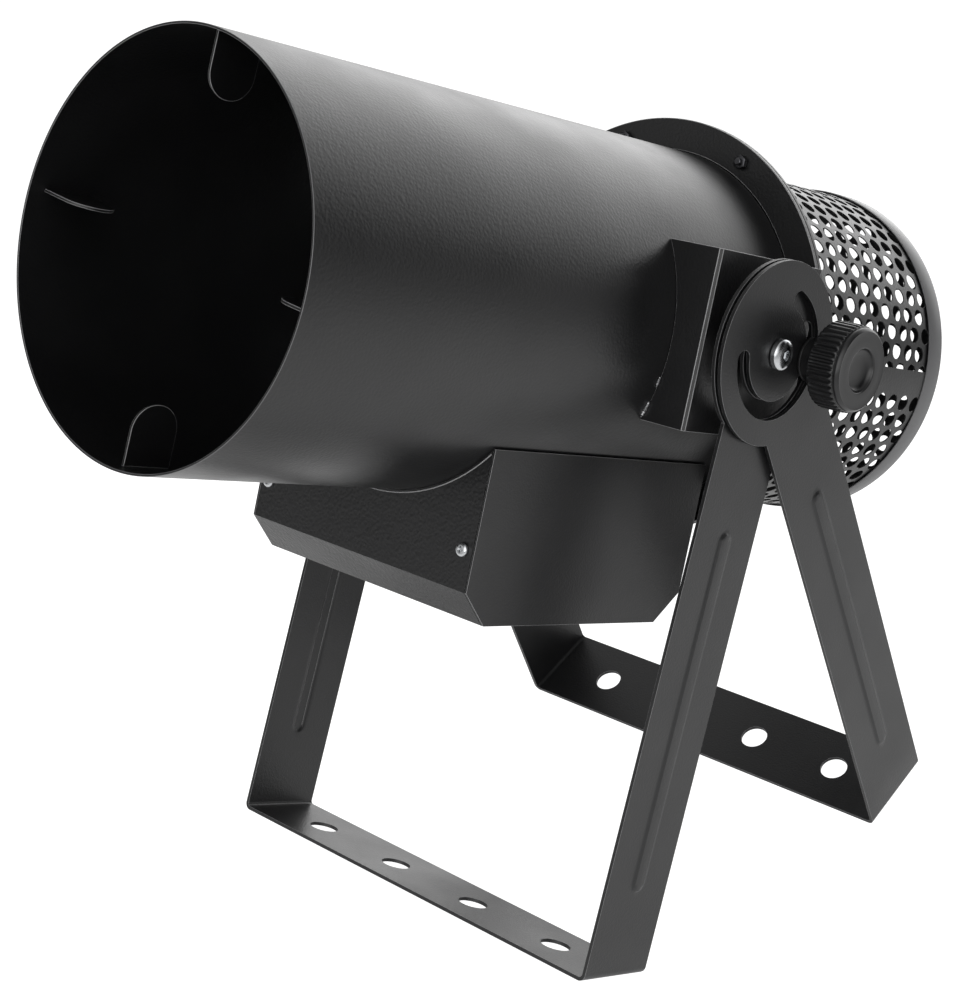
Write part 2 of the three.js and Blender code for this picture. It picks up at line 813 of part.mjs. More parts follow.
// The slot is symmetrical about the leg, which points down.
function arcSlot() {
  const half = yoke.slotWidth / 2;
  const start = -Math.PI / 2 - yoke.slotHalfAngle;
  const end = -Math.PI / 2 + yoke.slotHalfAngle;
  const startCap = [yoke.slotRadius * Math.cos(start), yoke.slotRadius * Math.sin(start)];
  const endCap = [yoke.slotRadius * Math.cos(end), yoke.slotRadius * Math.sin(end)];
  return hole([
    ...arc(0, 0, yoke.slotRadius + half, start, end, slotSteps),
    ...arc(...endCap, half, end, end + Math.PI, hexagonSides).slice(1, -1),
    ...arc(0, 0, yoke.slotRadius - half, end, start, slotSteps),
    ...arc(...startCap, half, start + Math.PI, start + TURN, hexagonSides).slice(1, -1),
  ]);
}

// A long bar with sloping sides that stands up from a face: it is joined to a leg's outer
// face as a stiffening rib, and cut from its inner face as that rib's groove.
function pressedRib(face, leg) {
  const half = rib.width / 2;
  const top = -rib.top - half;
  const bottom = -leg + rib.aboveStrap + half;
  const rows = [
    [face - OVERRUN, half],
    [face, half],
    [face + rib.rise, half - rib.slope],
  ];
  const positions = [];
  const indices = [];
  const steps = smallSegments / 2;
  for (const [x, radius] of rows) {
    for (let i = 0; i <= steps; i += 1) {
      const angle = (i * Math.PI) / steps;
      positions.push(x, radius * Math.cos(angle), top + radius * Math.sin(angle));
    }
    for (let i = 0; i <= steps; i += 1) {
      const angle = Math.PI + (i * Math.PI) / steps;
      positions.push(x, radius * Math.cos(angle), bottom + radius * Math.sin(angle));
    }
  }
  const count = 2 * (steps + 1);
  for (let row = 0; row < rows.length - 1; row += 1) {
    for (let i = 0; i < count; i += 1) {
      const a = row * count + i;
      const b = row * count + ((i + 1) % count);
      indices.push(a, b, a + count, b, b + count, a + count);
    }
  }
  const last = (rows.length - 1) * count;
  for (let i = 1; i < count - 1; i += 1) {
    indices.push(0, i + 1, i);
    indices.push(last, last + i, last + i + 1);
  }
  const geometry = new THREE.BufferGeometry();
  geometry.setAttribute("position", new THREE.Float32BufferAttribute(positions, 3));
  geometry.setIndex(indices);
  return solid(geometry);
}

function mountHoles(leg) {
  return Array.from({ length: yoke.mountCount }, (_, i) => {
    const x = (i - (yoke.mountCount - 1) / 2) * yoke.mountPitch;
    const shape = outline(circle(x, 0, yoke.mountHole, coarseSegments));
    return plateLevel(shape, -leg - OVERRUN, yoke.sheet + 2 * OVERRUN);
  });
}

// The control box seen from its side: front wall, chamfer, floor, chamfer, rear wall
const boxInner = box.halfWidth - box.sheet;
const boxTop = -Math.sqrt((tube.radius + GAP) ** 2 - boxInner ** 2);
const boxChain = [
  [-box.front, boxTop],
  [-box.front, -boxShoulder],
  [box.chamfer - box.front, -boxFloor],
  [box.rear - box.chamfer, -boxFloor],
  [box.rear, -boxShoulder],
  [box.rear, boxTop],
];

// The same open chain of points moved sideways, to its left, by a sheet's thickness
function offsetChain(points, distance) {
  const normals = points.slice(1).map(([x, y], i) => {
    const length = Math.hypot(x - points[i][0], y - points[i][1]);
    return [-(y - points[i][1]) / length, (x - points[i][0]) / length];
  });
  return points.map(([x, y], i) => {
    const before = normals[Math.max(i - 1, 0)];
    const after = normals[Math.min(i, normals.length - 1)];
    const mitre = distance / (1 + before[0] * after[0] + before[1] * after[1]);
    return [x + mitre * (before[0] + after[0]), y + mitre * (before[1] + after[1])];
  });
}

// Folded tray: its front and rear walls are cut to the tube and drilled for what they carry
function boxTray() {
  const inside = offsetChain(boxChain, box.sheet).reverse();
  const half = boxInner - GAP;
  const folded = plateAlong(outline([...boxChain, ...inside]), -half, 2 * half);
  const saddle = turnedAlongY(
    rodProfile(tube.radius + GAP, -box.front - OVERRUN, box.rear + OVERRUN),
    fineSegments,
  );
  const rearWall = [box.rear - box.sheet - OVERRUN, box.rear + OVERRUN];
  const buttonHole = turnedAlongY(rodProfile(fireButton.barrel + GAP, ...rearWall), coarseSegments);
  return cut(folded, [
    saddle,
    ...screwPlaces().map(([x, y]) => screwHole(x, y)),
    block(
      inlet.x - inlet.width / 2 - GAP,
      inlet.x + inlet.width / 2 + GAP,
      ...rearWall,
      -inletDrop - inlet.height / 2 - GAP,
      -inletDrop + inlet.height / 2 + GAP,
    ),
    block(
      rockerX - rocker.width / 2 - GAP,
      rockerX + rocker.width / 2 + GAP,
      ...rearWall,
      -rockerDrop - rocker.height / 2 - GAP,
      -rockerDrop + rocker.height / 2 + GAP,
    ),
    moved(buttonHole, buttonX, 0, -buttonDrop),
  ]);
}

// The four tray screws: a side, and the wall that they go through
function screwPlaces() {
  const x = box.halfWidth - boxScrew.inset;
  return [
    [x, -box.front],
    [-x, -box.front],
    [x, box.rear],
    [-x, box.rear],
  ];
}

function screwHole(x, wall) {
  const deep = 2 * box.sheet + GAP + OVERRUN;
  const shape = rodProfile(boxScrew.clearance, wall - deep, wall + deep);
  return moved(turnedAlongY(shape, smallSegments), x, 0, -boxScrewDrop);
}

// A side plate with two folded tabs, which the tray's screws are driven into
function boxSide() {
  const plate = plateAlong(outline(boxChain), boxInner, box.sheet);
  const low = -boxScrewDrop - boxTab.height / 2;
  const high = -boxScrewDrop + boxTab.height / 2;
  const frontTab = box.sheet + GAP - box.front;
  const rearTab = box.rear - box.sheet - GAP;
  const inner = boxInner - boxTab.width;
  const x = box.halfWidth - boxScrew.inset;
  return cut(
    joined([
      plate,
      block(inner, box.halfWidth, frontTab, frontTab + box.sheet, low, high),
      block(inner, box.halfWidth, rearTab - box.sheet, rearTab, low, high),
    ]),
    [screwHole(x, -box.front), screwHole(x, box.rear)],
  );
}

// A pan-head screw: facing is -1 on the front wall and 1 on the rear one.
function boxScrewSolid(x, wall, facing) {
  const profile = [
    [0, -2 * box.sheet - GAP - boxScrew.tip],
    [boxScrew.shank, -2 * box.sheet - GAP - boxScrew.tip],
    [boxScrew.shank, GAP],
    [boxScrew.headRadius, GAP],
    [boxScrew.headRadius, GAP + boxScrew.head / 2],
    [boxScrew.headRadius / 2, GAP + boxScrew.head],
    [0, GAP + boxScrew.head],
  ];
  const points = profile.map(([radius, along]) => new THREE.Vector2(radius, along));
  const screw = new THREE.LatheGeometry(points, smallSegments);
  if (facing < 0) screw.rotateX(Math.PI);
  return solid(screw.translate(x, wall, -boxScrewDrop));
}

// Circuit board on four posts, with its transformer, relay and terminal block
function controlBoard() {
  const bottom = -boxFloor + box.sheet + GAP + board.lift;
  const top = bottom + board.sheet;
  const half = box.halfWidth - board.sideMargin;
  const front = board.frontMargin - box.front;
  const rear = box.rear - board.rearMargin;
  const plate = block(-half, half, front, rear, bottom, top);
  const postX = half - 2 * board.post;
  const postY = [front + 2 * board.post, rear - 2 * board.post];
  const posts = postY.flatMap((y) =>
    [-postX, postX].map((x) => {
      const shape = outline(circle(x, y, board.post, smallSegments));
      return plateLevel(shape, bottom - board.lift, board.lift + board.sheet / 2);
    }),
  );
  const components = Object.values(boardParts).map((item) => {
    const x = item.side * (half - item.fromSide);
    const y = rear - item.fromRear;
    return block(
      x - item.width / 2,
      x + item.width / 2,
      y - item.length / 2,
      y + item.length / 2,
      bottom + board.sheet / 2,
      top + item.height,
    );
  });
  return joined([plate, ...posts, ...components]);
}

// A rectangle in X and Z with its two lower corners cut off, as a mains inlet's mouth has
function inletOutline(width, height, chamfer) {
  return outline([
    [inlet.x - width / 2, -inletDrop + height / 2],
    [inlet.x - width / 2, -inletDrop - height / 2 + chamfer],
    [inlet.x - width / 2 + chamfer, -inletDrop - height / 2],
    [inlet.x + width / 2 - chamfer, -inletDrop - height / 2],
    [inlet.x + width / 2, -inletDrop - height / 2 + chamfer],
    [inlet.x + width / 2, -inletDrop + height / 2],
  ]);
}

function powerInlet() {
  const seat = box.rear + GAP;
  const face = seat + inlet.lip;
  const back = seat - inlet.depth;
  const cavityWidth = inlet.width - 2 * inlet.wall;
  const cavityHeight = inlet.height - 2 * inlet.wall;
  const body = joined([
    block(
      inlet.x - inlet.width / 2,
      inlet.x + inlet.width / 2,
      back,
      face,
      -inletDrop - inlet.height / 2,
      -inletDrop + inlet.height / 2,
    ),
    block(
      inlet.x - inlet.lipWidth / 2,
      inlet.x + inlet.lipWidth / 2,
      seat,
      face,
      -inletDrop - inlet.lipHeight / 2,
      -inletDrop + inlet.lipHeight / 2,
    ),
  ]);
  const mouth = inletOutline(cavityWidth, cavityHeight, 2 * inlet.wall);
  return body.subtract(plateAcross(mouth, face - inlet.cavity, inlet.cavity + OVERRUN));
}

const rockerSeat = box.rear + GAP;
const rockerFace = rockerSeat + rocker.lip;
const rockerAxis = rockerFace - rocker.rise / 2;

function rockerFrame() {
  const half = rocker.width / 2;
  const halfHigh = rocker.height / 2;
  const body = joined([
    block(
      rockerX - half,
      rockerX + half,
      rockerSeat - rocker.depth,
      rockerFace,
      -rockerDrop - halfHigh,
      -rockerDrop + halfHigh,
    ),
    block(
      rockerX - rocker.lipWidth / 2,
      rockerX + rocker.lipWidth / 2,
      rockerSeat,
      rockerFace,
      -rockerDrop - rocker.lipHeight / 2,
      -rockerDrop + rocker.lipHeight / 2,
    ),
  ]);
  const pocket = block(
    rockerX - half + rocker.wall,
    rockerX + half - rocker.wall,
    rockerFace - rocker.pocket,
    rockerFace + OVERRUN,
    -rockerDrop - halfHigh + rocker.wall,
    -rockerDrop + halfHigh - rocker.wall,
  );
  const bearing = turnedAlongX(
    rodProfile(rocker.pinHole, rockerX - half + GAP, rockerX + half - GAP),
    smallSegments,
    rockerAxis,
    -rockerDrop,
  );
  return cut(body, [pocket, bearing]);
}

// The rocker's side view: two flats that meet in a shallow valley, over a round belly
function rockerPaddle() {
  const length = rocker.height / 2 - rocker.wall - rocker.endClearance;
  const tilt = rocker.swing / 2;
  const high = rocker.rise;
  const belly = length / 2;
  const shape = outline([
    [high, length],
    [high - length * Math.tan(tilt), 0],
    [high, -length],
    [0, -length + GAP],
    [-belly, -belly],
    [-belly, belly],
    [0, length - GAP],
  ]);
  const half = rocker.width / 2 - rocker.wall - GAP;
  const paddle = extruded(shape, 2 * half);
  const pinHalf = rocker.width / 2 - rocker.pinClearance;
  const pin = turnedAlongX(rodProfile(rocker.pinRadius, -pinHalf, pinHalf), smallSegments, 0, 0);
  const rest = solid(paddle.applyMatrix4(sideways).translate(-half, 0, 0)).add(pin);
  return placedRocker(rest, tilt);
}

// The rocker turned to its off position and set on its axis
function placedRocker(rest, tilt) {
  const made = rest.getMesh();
  const geometry = new THREE.BufferGeometry();
  geometry.setAttribute("position", new THREE.BufferAttribute(made.vertProperties.slice(), 3));
  geometry.setIndex(new THREE.BufferAttribute(made.triVerts.slice(), 1));
  geometry.rotateX(-tilt).translate(rockerX, rockerAxis, -rockerDrop);
  return solid(geometry);
}

const buttonFace = box.rear + GAP + fireButton.lip;

function buttonBezel() {
  const seat = box.rear + GAP;
  const body = turnedAlongY(
    [
      [0, box.rear - fireButton.depth],
      [fireButton.barrel, box.rear - fireButton.depth],
      [fireButton.barrel, seat],
      [fireButton.bezel, seat],
      [fireButton.bezel, buttonFace - fireButton.lip / 2],
      [fireButton.bezel - fireButton.lip / 2, buttonFace],
      [0, buttonFace],
    ],
    coarseSegments,
  );
  const pocket = turnedAlongY(
    rodProfile(fireButton.cap + GAP, buttonFace - fireButton.pocket, buttonFace + OVERRUN),
    coarseSegments,
  );
  return moved(body.subtract(pocket), buttonX, 0, -buttonDrop);
}

function fireButtonCap() {
  const inner = buttonFace - fireButton.pocket + fireButton.travel + GAP;
  const outer = buttonFace + fireButton.proud;
  const cap = turnedAlongY(
    [
      [0, inner],
      [fireButton.cap, inner],
      [fireButton.cap, outer - fireButton.lip / 2],
      [fireButton.cap - fireButton.lip / 2, outer],
      [0, outer],
    ],
    coarseSegments,
  );
  return moved(cap, buttonX, 0, -buttonDrop);
}

// The angle of the floor to the front leg, when both straps rest on their inner edges
function frontLegLean() {
  const half = yoke.width / 2;
  const front = [half, -frontLeg];
  const rear = [
    rearLeg * Math.sin(pose.spread) - half * Math.cos(pose.spread),
    -rearLeg * Math.cos(pose.spread) - half * Math.sin(pose.spread),
  ];
  return Math.atan2(rear[1] - front[1], rear[0] - front[0]);
}

// Everything that tilts with the barrel, in the barrel's own frame
function barrelGroup() {
  const group = new THREE.Group();
  group.add(
    part("barrel_tube", barrelTube(), powderBlack),
    part("barrel_flange", barrelFlange(), powderBlack),
    part("fan_mount_plate", fanMountPlate(), powderBlack),
    part("intake_cage", intakeCage(), powderBlack),
    part("cage_end_ring", cageEndRing(), powderBlack),
    part("rear_grille", rearGrille(), powderBlack),
    part("load_guard", loadGuard(), zincSteel),
    part("fan_motor", fanMotor(), motorGrey),
    part("fan_shaft", fanShaft(), zincSteel),
    part("fan_impeller", fanImpeller(), mouldedBlack),
    part("box_tray", boxTray(), powderBlack),
    part("control_board", controlBoard(), circuitGreen),
    part("power_inlet", powerInlet(), mouldedBlack),
    part("rocker_frame", rockerFrame(), mouldedBlack),
    part("rocker_switch", rockerPaddle(), mouldedBlack),
    part("button_bezel", buttonBezel(), zincSteel),
    part("fire_button", fireButtonCap(), buttonRed),
  );
  for (const [name, angle] of Object.entries(tabAngles)) {
    group.add(part("muzzle_tab_" + name, muzzleTab(angle), powderBlack));
  }
  boltPlaces().forEach((place, i) => {
    group.add(part("flange_bolt_" + (i + 1), flangeBoltSolid(place), zincSteel));
  });
  for (const [name, x, wall, facing] of [
    ["front_right", screwPlaces()[0][0], -box.front, -1],
    ["front_left", screwPlaces()[1][0], -box.front, -1],
    ["rear_right", screwPlaces()[2][0], box.rear, 1],
    ["rear_left", screwPlaces()[3][0], box.rear, 1],
  ]) {
    group.add(part("box_screw_" + name, boxScrewSolid(x, wall, facing), zincSteel));
  }
  const handed = {
    pivot_bracket: [pivotBracket(), powderBlack],
    pivot_bolt: [pivotBolt(), zincSteel],
    pivot_nut: [hexNutSolid(0), zincSteel],
    pivot_spacer: [collarAt(spacer.radius, bracketReach + GAP, frontYokeInner - GAP, 0), mouldedBlack],
    disc_washer: [collarAt(discWasher.radius, frontYokeOuter + GAP, rearYokeInner - GAP, 0), nylonWhite],
    clamp_spacer: [
      collarAt(clampSpacerRadius, bracketReach + GAP, frontYokeInner - GAP, studY),
      mouldedBlack,
    ],
    clamp_nut: [hexNutSolid(studY), zincSteel],
    clamp_washer: [collarAt(clampWasher.radius, rearYokeOuter + GAP, knobBack - GAP, studY), mouldedBlack],
    clamp_stud: [clampStud(), zincSteel],
    clamp_knob: [clampKnob(), mouldedBlack],
    box_side: [boxSide(), satinBlack],
  };
  for (const [name, [body, material]] of Object.entries(handed)) {
    group.add(part(name + "_right", body, material), part(name + "_left", mirrored(body), material));
  }
  group.position.z = -pivot.rise;
  return group;
}

// The whole blower, standing on its yokes with its origin at the centre of its footprint
function blower() {
  const lean = frontLegLean();
  const frontYoke = part("front_yoke", yokeSolid(frontYokeOuter, frontLeg), satinBlack);
  frontYoke.rotation.x = -lean;
  const rearYoke = part("rear_yoke", yokeSolid(rearYokeOuter, rearLeg), satinBlack);
  rearYoke.rotation.x = pose.spread - lean;
  const barrel = new THREE.Group();
  barrel.add(barrelGroup());
  barrel.rotation.x = pose.frontLegAheadOfBarrel - lean;
  const standing = new THREE.Group();
  standing.add(frontYoke, rearYoke, barrel);
  const extent = new THREE.Box3().setFromObject(standing, true);
  const middle = extent.getCenter(new THREE.Vector3());
  standing.position.set(-middle.x, -middle.y, -extent.min.z);
  return standing;
}

const whole = new THREE.Group();
whole.add(blower());
export default whole;
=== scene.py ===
import json

import bmesh
import bpy
import numpy as np
from mathutils import Matrix


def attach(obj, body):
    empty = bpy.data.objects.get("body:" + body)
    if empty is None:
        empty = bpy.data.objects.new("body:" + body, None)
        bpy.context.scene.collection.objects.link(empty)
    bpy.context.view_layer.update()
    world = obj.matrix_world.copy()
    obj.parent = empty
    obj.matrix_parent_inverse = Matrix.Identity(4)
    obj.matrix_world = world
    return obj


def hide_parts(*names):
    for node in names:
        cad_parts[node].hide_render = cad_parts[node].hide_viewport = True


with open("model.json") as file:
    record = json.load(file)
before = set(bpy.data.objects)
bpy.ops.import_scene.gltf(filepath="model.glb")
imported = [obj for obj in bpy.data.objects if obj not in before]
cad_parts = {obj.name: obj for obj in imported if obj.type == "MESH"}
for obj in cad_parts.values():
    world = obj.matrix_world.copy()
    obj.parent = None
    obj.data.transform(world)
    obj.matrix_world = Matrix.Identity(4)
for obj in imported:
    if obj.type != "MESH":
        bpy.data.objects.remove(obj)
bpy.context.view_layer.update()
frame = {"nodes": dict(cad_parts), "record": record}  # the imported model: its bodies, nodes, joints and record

MM = 0.001
TAU = 2 * np.pi

# Where the bodies stand
pivot = np.array([0.0, 33.294, 317.097])  # middle of the pivots' axis
pivot_rise = 4.5  # the pivots sit this far above the barrel's axis
barrel_tilt = -17.783  # degrees about X, as are the two below
front_lean = -21.183
rear_lean = 24.217


def placed(points, tilt, rise=0.0):
    """Points of a body's own axes in the shared frame: lowered by the rise, turned about X
    by the tilt, moved to the pivots and scaled from millimetres to metres."""
    angle = np.radians(tilt)
    x, y, z = points[:, 0], points[:, 1], points[:, 2] - rise
    turned = np.stack(
        [x, y * np.cos(angle) - z * np.sin(angle), y * np.sin(angle) + z * np.cos(angle)], 1
    )
    return (turned + pivot) * MM


def on_barrel(points):
    """The barrel's own axes: Y is its axis, and the control box hangs below it."""
    return placed(points, barrel_tilt, pivot_rise)


def on_front_yoke(points):
    """The front yoke's own axes: its pivots are at the origin and its legs point down."""
    return placed(points, front_lean)


def on_rear_yoke(points):
    """The rear yoke's own axes, which lie in it as the front yoke's do."""
    return placed(points, rear_lean)


# Surfaces
def quads(rows, columns, round_rows=False, round_columns=False):
    """Four-sided faces between neighbouring points of a grid that is stored row after row."""
    row = np.arange(rows if round_rows else rows - 1)[:, None]
    column = np.arange(columns if round_columns else columns - 1)[None, :]
    next_row, next_column = (row + 1) % rows, (column + 1) % columns
    corners = [
        row * columns + column,
        row * columns + next_column,
        next_row * columns + next_column,
        next_row * columns + column,
    ]
    return np.stack(np.broadcast_arrays(*corners), -1).reshape(-1, 4)


def grid(x, y, z, round_rows=False, round_columns=False):
    """A surface of two parameters: X, Y and Z as arrays of rows and columns."""
    x, y, z = np.broadcast_arrays(x, y, z)
    points = np.stack([x, y, z], -1).reshape(-1, 3).astype(float)
    return points, quads(*x.shape, round_rows, round_columns)


def eased(corners, size, steps=4):
    """Corners of a closed profile made round: from size before each corner to size after it
    runs the curve (1-t)^2 a + 2t(1-t) corner + t^2 b."""
    corners = np.array(corners, float)
    before, after = np.roll(corners, 1, 0) - corners, np.roll(corners, -1, 0) - corners
    size = np.array(np.broadcast_to(size, len(corners)), float)
    ends = [
        corners + way * (size / np.maximum(np.hypot(*way.T), 1e-9))[:, None]
        for way in (before, after)
    ]
    t = np.linspace(0, 1, steps + 1)[None, :, None]
    curve = (1 - t) ** 2 * ends[0][:, None] + 2 * t * (1 - t) * corners[:, None]
    curve = curve + t**2 * ends[1][:, None]
    keep = np.ones((len(corners), steps + 1), bool)
    keep[size == 0, 1:] = False
    return curve[keep]


def band(inner, outer, start, end):
    """Profile of a plain ring, from its two radii and the places of its two ends."""
    return [(inner, start), (outer, start), (outer, end), (inner, end)]


def turned(profile, segments, axis="y", middle=(0, 0, 0), closed=False, shape=None):
    """A profile of radii and places along an axis, carried round that axis. A shape may
    change the radius by angle: it gets angle, radius and place as grids."""
    profile = np.array(profile, float)
    radius, along = profile[:, :1], profile[:, 1:]
    angle = np.linspace(0, TAU, segments, endpoint=False)[None, :]
    if shape:
        radius = shape(angle, radius, along)
    across, up = radius * np.cos(angle), radius * np.sin(angle)
    x, y, z = {"x": (along, across, up), "y": (across, along, up)}[axis]
    return grid(x + middle[0], y + middle[1], z + middle[2], closed, True)


def lids(points, count):
    """Two faces that close a surface: one over its first row of points and one over its
    last, for rows of that count."""
    face = [list(range(count))]
    return [(points[:count], face), (points[-count:], face)]


def swept(path, radius, sides=12, closed=False):
    """A round bar: a circle carried square to a path, whose direction comes from the
    differences of neighbouring points."""
    path = np.array(path, float)
    ahead = np.roll(path, -1, 0) - np.roll(path, 1, 0) if closed else np.gradient(path, axis=0)
    ahead /= np.linalg.norm(ahead, axis=1)[:, None]
    spare = np.where(np.abs(ahead[:, 1:2]) < 0.9, [[0.0, 1.0, 0.0]], [[1.0, 0.0, 0.0]])
    side = np.cross(ahead, spare)
    side /= np.linalg.norm(side, axis=1)[:, None]
    up = np.cross(side, ahead)
    angle = np.linspace(0, TAU, sides, endpoint=False)
    radius = np.broadcast_to(radius, len(path))[:, None, None]
    ring = np.cos(angle)[None, :, None] * side[:, None] + np.sin(angle)[None, :, None] * up[:, None]
    points = (path[:, None] + radius * ring).reshape(-1, 3)
    bar = [(points, quads(len(path), sides, closed, True))]
    return bar if closed else bar + lids(points, sides)


def slab(outline, thickness):
    """A flat outline of Y and Z given a thickness along X, half to each side."""
    x = np.array([-thickness / 2, thickness / 2])[:, None]
    points, sides = grid(x, outline[:, 0][None, :], outline[:, 1][None, :], False, True)
    return [(points, sides)] + lids(points, len(outline))


def round_cell(xs, ys, radius, rings):
    """The part of a sheet round a hole: points on a rectangle's edge move evenly towards
    where a line from them to the hole's middle meets the hole."""
    low, high = [[x, ys[0]] for x in xs[:-1]], [[x, ys[-1]] for x in xs[:0:-1]]
    right, left = [[xs[-1], y] for y in ys[:-1]], [[xs[0], y] for y in ys[:0:-1]]
    edge = np.array(low + right + high + left, float)
    middle = np.array([(xs[0] + xs[-1]) / 2, (ys[0] + ys[-1]) / 2])
    away = edge - middle
    hole = middle + radius * away / np.hypot(*away.T)[:, None]
    share = np.linspace(0, 1, rings + 1)[:, None, None]
    points = edge + share * (hole - edge)
    return points, quads(rings + 1, len(edge), False, True)


def mirrored(shapes):
    """The same surfaces on the other side: X changes its sign."""
    return [(points * [-1, 1, 1], faces) for points, faces in shapes]


def joined(*groups):
    """One list of surfaces from single surfaces and lists of them."""
    return [shape for group in groups for shape in (group if isinstance(group, list) else [group])]


def hexagon(angle, flats):
    """Distance from a hexagon's middle to its edge: half the distance across its flats over
    the cosine of the angle from the nearest flat's middle."""
    from_flat = (angle + TAU / 12) % (TAU / 6) - TAU / 12
    return flats / 2 / np.cos(from_flat)


# Pieces of the scene
bevel_angle = 38  # degrees: an edge bent by more is rounded


def piece(name, shapes, place, body, finish, slot, nodes=(), sheet=0.0, edge=0.0, sharp=38, weld=0.01,
          wear_and_highlight=None):
    """One named piece: its surfaces are merged into a mesh, sheet gives a middle surface its thickness, and
    edge rounds what is still sharp. The finish of those edges is wear_and_highlight: a paler coat for wear,
    which is also a painted highlight along them."""
    starts = np.cumsum([0] + [len(points) for points, _ in shapes])
    points = place(np.concatenate([points for points, _ in shapes]))
    faces = [face for (_, made), start in zip(shapes, starts) for face in (np.array(made) + start).tolist()]
    mesh = bpy.data.meshes.new(name)
    mesh.from_pydata(points.tolist(), [], faces)
    return finished(name, mesh, body, finish, nodes, sheet, edge, sharp, weld, wear_and_highlight)


def finished(name, mesh, body, finish, nodes=(), sheet=0.0, edge=0.0, sharp=38, weld=0.01,
             wear_and_highlight=None):
    """Makes an object of a mesh. Points closer than weld become one, faces turn outwards, and edges bent by
    more than the sharp angle, in degrees, stay sharp. It rides its body and stands for its nodes."""
    work = bmesh.new()
    work.from_mesh(mesh)
    bmesh.ops.remove_doubles(work, verts=work.verts, dist=weld * MM)
    bmesh.ops.dissolve_degenerate(work, edges=work.edges, dist=0.2 * weld * MM)
    bmesh.ops.recalc_face_normals(work, faces=work.faces)
    if sheet and not edge:  # thin perforated sheet: its thickness goes inwards, with crisp edges
        bmesh.ops.solidify(work, geom=work.faces[:], thickness=sheet * MM)
        bmesh.ops.recalc_face_normals(work, faces=work.faces)
    work.to_mesh(mesh)
    work.free()
    mesh.polygons.foreach_set("use_smooth", np.ones(len(mesh.polygons), bool))
    mesh.set_sharp_from_angle(angle=np.radians(sharp))
    made = bpy.data.objects.new(name, mesh)
    bpy.context.scene.collection.objects.link(made)
    mesh.materials.append(finish)
    if sheet and edge:
        thick = made.modifiers.new("thickness", "SOLIDIFY")
        thick.thickness, thick.offset = sheet * MM, 0
    if edge:
        soft = made.modifiers.new("edges", "BEVEL")
        soft.width, soft.segments, soft.limit_method = edge * MM, 2, "ANGLE"
        soft.angle_limit, soft.harden_normals = np.radians(bevel_angle), True
        # The edges' bevels take the paler finish: wear, and a painted highlight along them.
        if wear_and_highlight:
            mesh.materials.append(wear_and_highlight)
            soft.material = 1
    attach(made, body)
    if nodes:
        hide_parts(*nodes)
    return made


def softened(name, node, body, finish, edge, wear_and_highlight=None):
    """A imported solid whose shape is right: its flat faces are merged and its edges eased."""
    mesh = frame["nodes"][node].data.copy()
    mesh.name = name
    mesh.materials.clear()
    work = bmesh.new()
    work.from_mesh(mesh)
    bmesh.ops.remove_doubles(work, verts=work.verts, dist=0.005 * MM)
    bmesh.ops.dissolve_limit(
        work, angle_limit=np.radians(1), verts=work.verts, edges=work.edges, delimit={"NORMAL"}
    )
    work.to_mesh(mesh)
    work.free()
    return finished(name, mesh, body, finish, [node], edge=edge, sharp=30, wear_and_highlight=wear_and_highlight)


# Materials
def linear(colour):
    """A hex colour as it looks on a screen, turned to linear light."""
    parts = np.array([int(colour[i : i + 2], 16) for i in (1, 3, 5)]) / 255
    light = np.where(parts <= 0.04045, parts / 12.92, ((parts + 0.055) / 1.055) ** 2.4)
    return (*light.tolist(), 1.0)


def add(tree, kind, settings=None, links=None):
    """Adds a node. A setting is an input's value if the node has that input, or else one of
    the node's own options; a link joins an input to another node's output."""
    made = tree.nodes.new(kind)
    for key, value in (settings or {}).items():
        if isinstance(key, int) or key in made.inputs:
            made.inputs[key].default_value = value
        else:
            setattr(made, key, value)
    for key, socket in (links or {}).items():
        tree.links.new(socket, made.inputs[key])
    return made


def fresh(name):
    """A new material and its node tree, still empty."""
    material = bpy.data.materials.new(name)
    material.use_nodes = True
    tree = material.node_tree
    tree.nodes.clear()
    return material, tree


def per_metre(size):
    """Noise scale for features of a size in millimetres."""
    return 1 / (size * MM)


def coated(name, dark, light, roughness, grain, depth):
    """Baked paint or moulded plastic: a fine grain of rounded bumps of that size and depth in
    millimetres, broken up by a finer noise, with slightly lighter and duller patches a few
    centimetres wide from handling."""
    material, tree = fresh(name)
    where = add(tree, "ShaderNodeTexCoord").outputs["Object"]
    bumps = add(
        tree, "ShaderNodeTexVoronoi",
        {"feature": "SMOOTH_F1", "Scale": per_metre(grain), "Smoothness": 0.7},
        {"Vector": where},
    )
    fine = add(
        tree, "ShaderNodeTexNoise",
        {"Scale": per_metre(grain * 0.6), "Detail": 3.0, "Roughness": 0.6},
        {"Vector": where},
    )
    patches = add(
        tree, "ShaderNodeTexNoise", {"Scale": per_metre(45), "Detail": 4.0}, {"Vector": where}
    )
    height = add(
        tree, "ShaderNodeMath", {"operation": "MULTIPLY_ADD", 1: 0.55},
        {0: fine.outputs["Fac"], 2: bumps.outputs["Distance"]},
    )
    bump = add(
        tree, "ShaderNodeBump", {"Strength": 1.0, "Distance": depth * MM},
        {"Height": height.outputs["Value"]},
    )
    # Inputs 6 and 7 of a mix of colours are its two colours, and output 2 is the mixed one.
    colour = add(
        tree, "ShaderNodeMix", {"data_type": "RGBA", 6: linear(dark), 7: linear(light)},
        {0: patches.outputs["Fac"]},
    )
    dull = add(
        tree, "ShaderNodeMapRange",
        {"From Min": 0.3, "From Max": 0.7, "To Min": roughness - 0.04, "To Max": roughness + 0.05},
        {"Value": patches.outputs["Fac"]},
    )
    paint = add(
        tree, "ShaderNodeBsdfPrincipled", {"IOR": 1.5, "Specular IOR Level": 0.5},
        {"Base Color": colour.outputs[2], "Roughness": dull.outputs["Result"],
         "Normal": bump.outputs["Normal"]},
    )
    add(tree, "ShaderNodeOutputMaterial", links={"Surface": paint.outputs["BSDF"]})
    return material


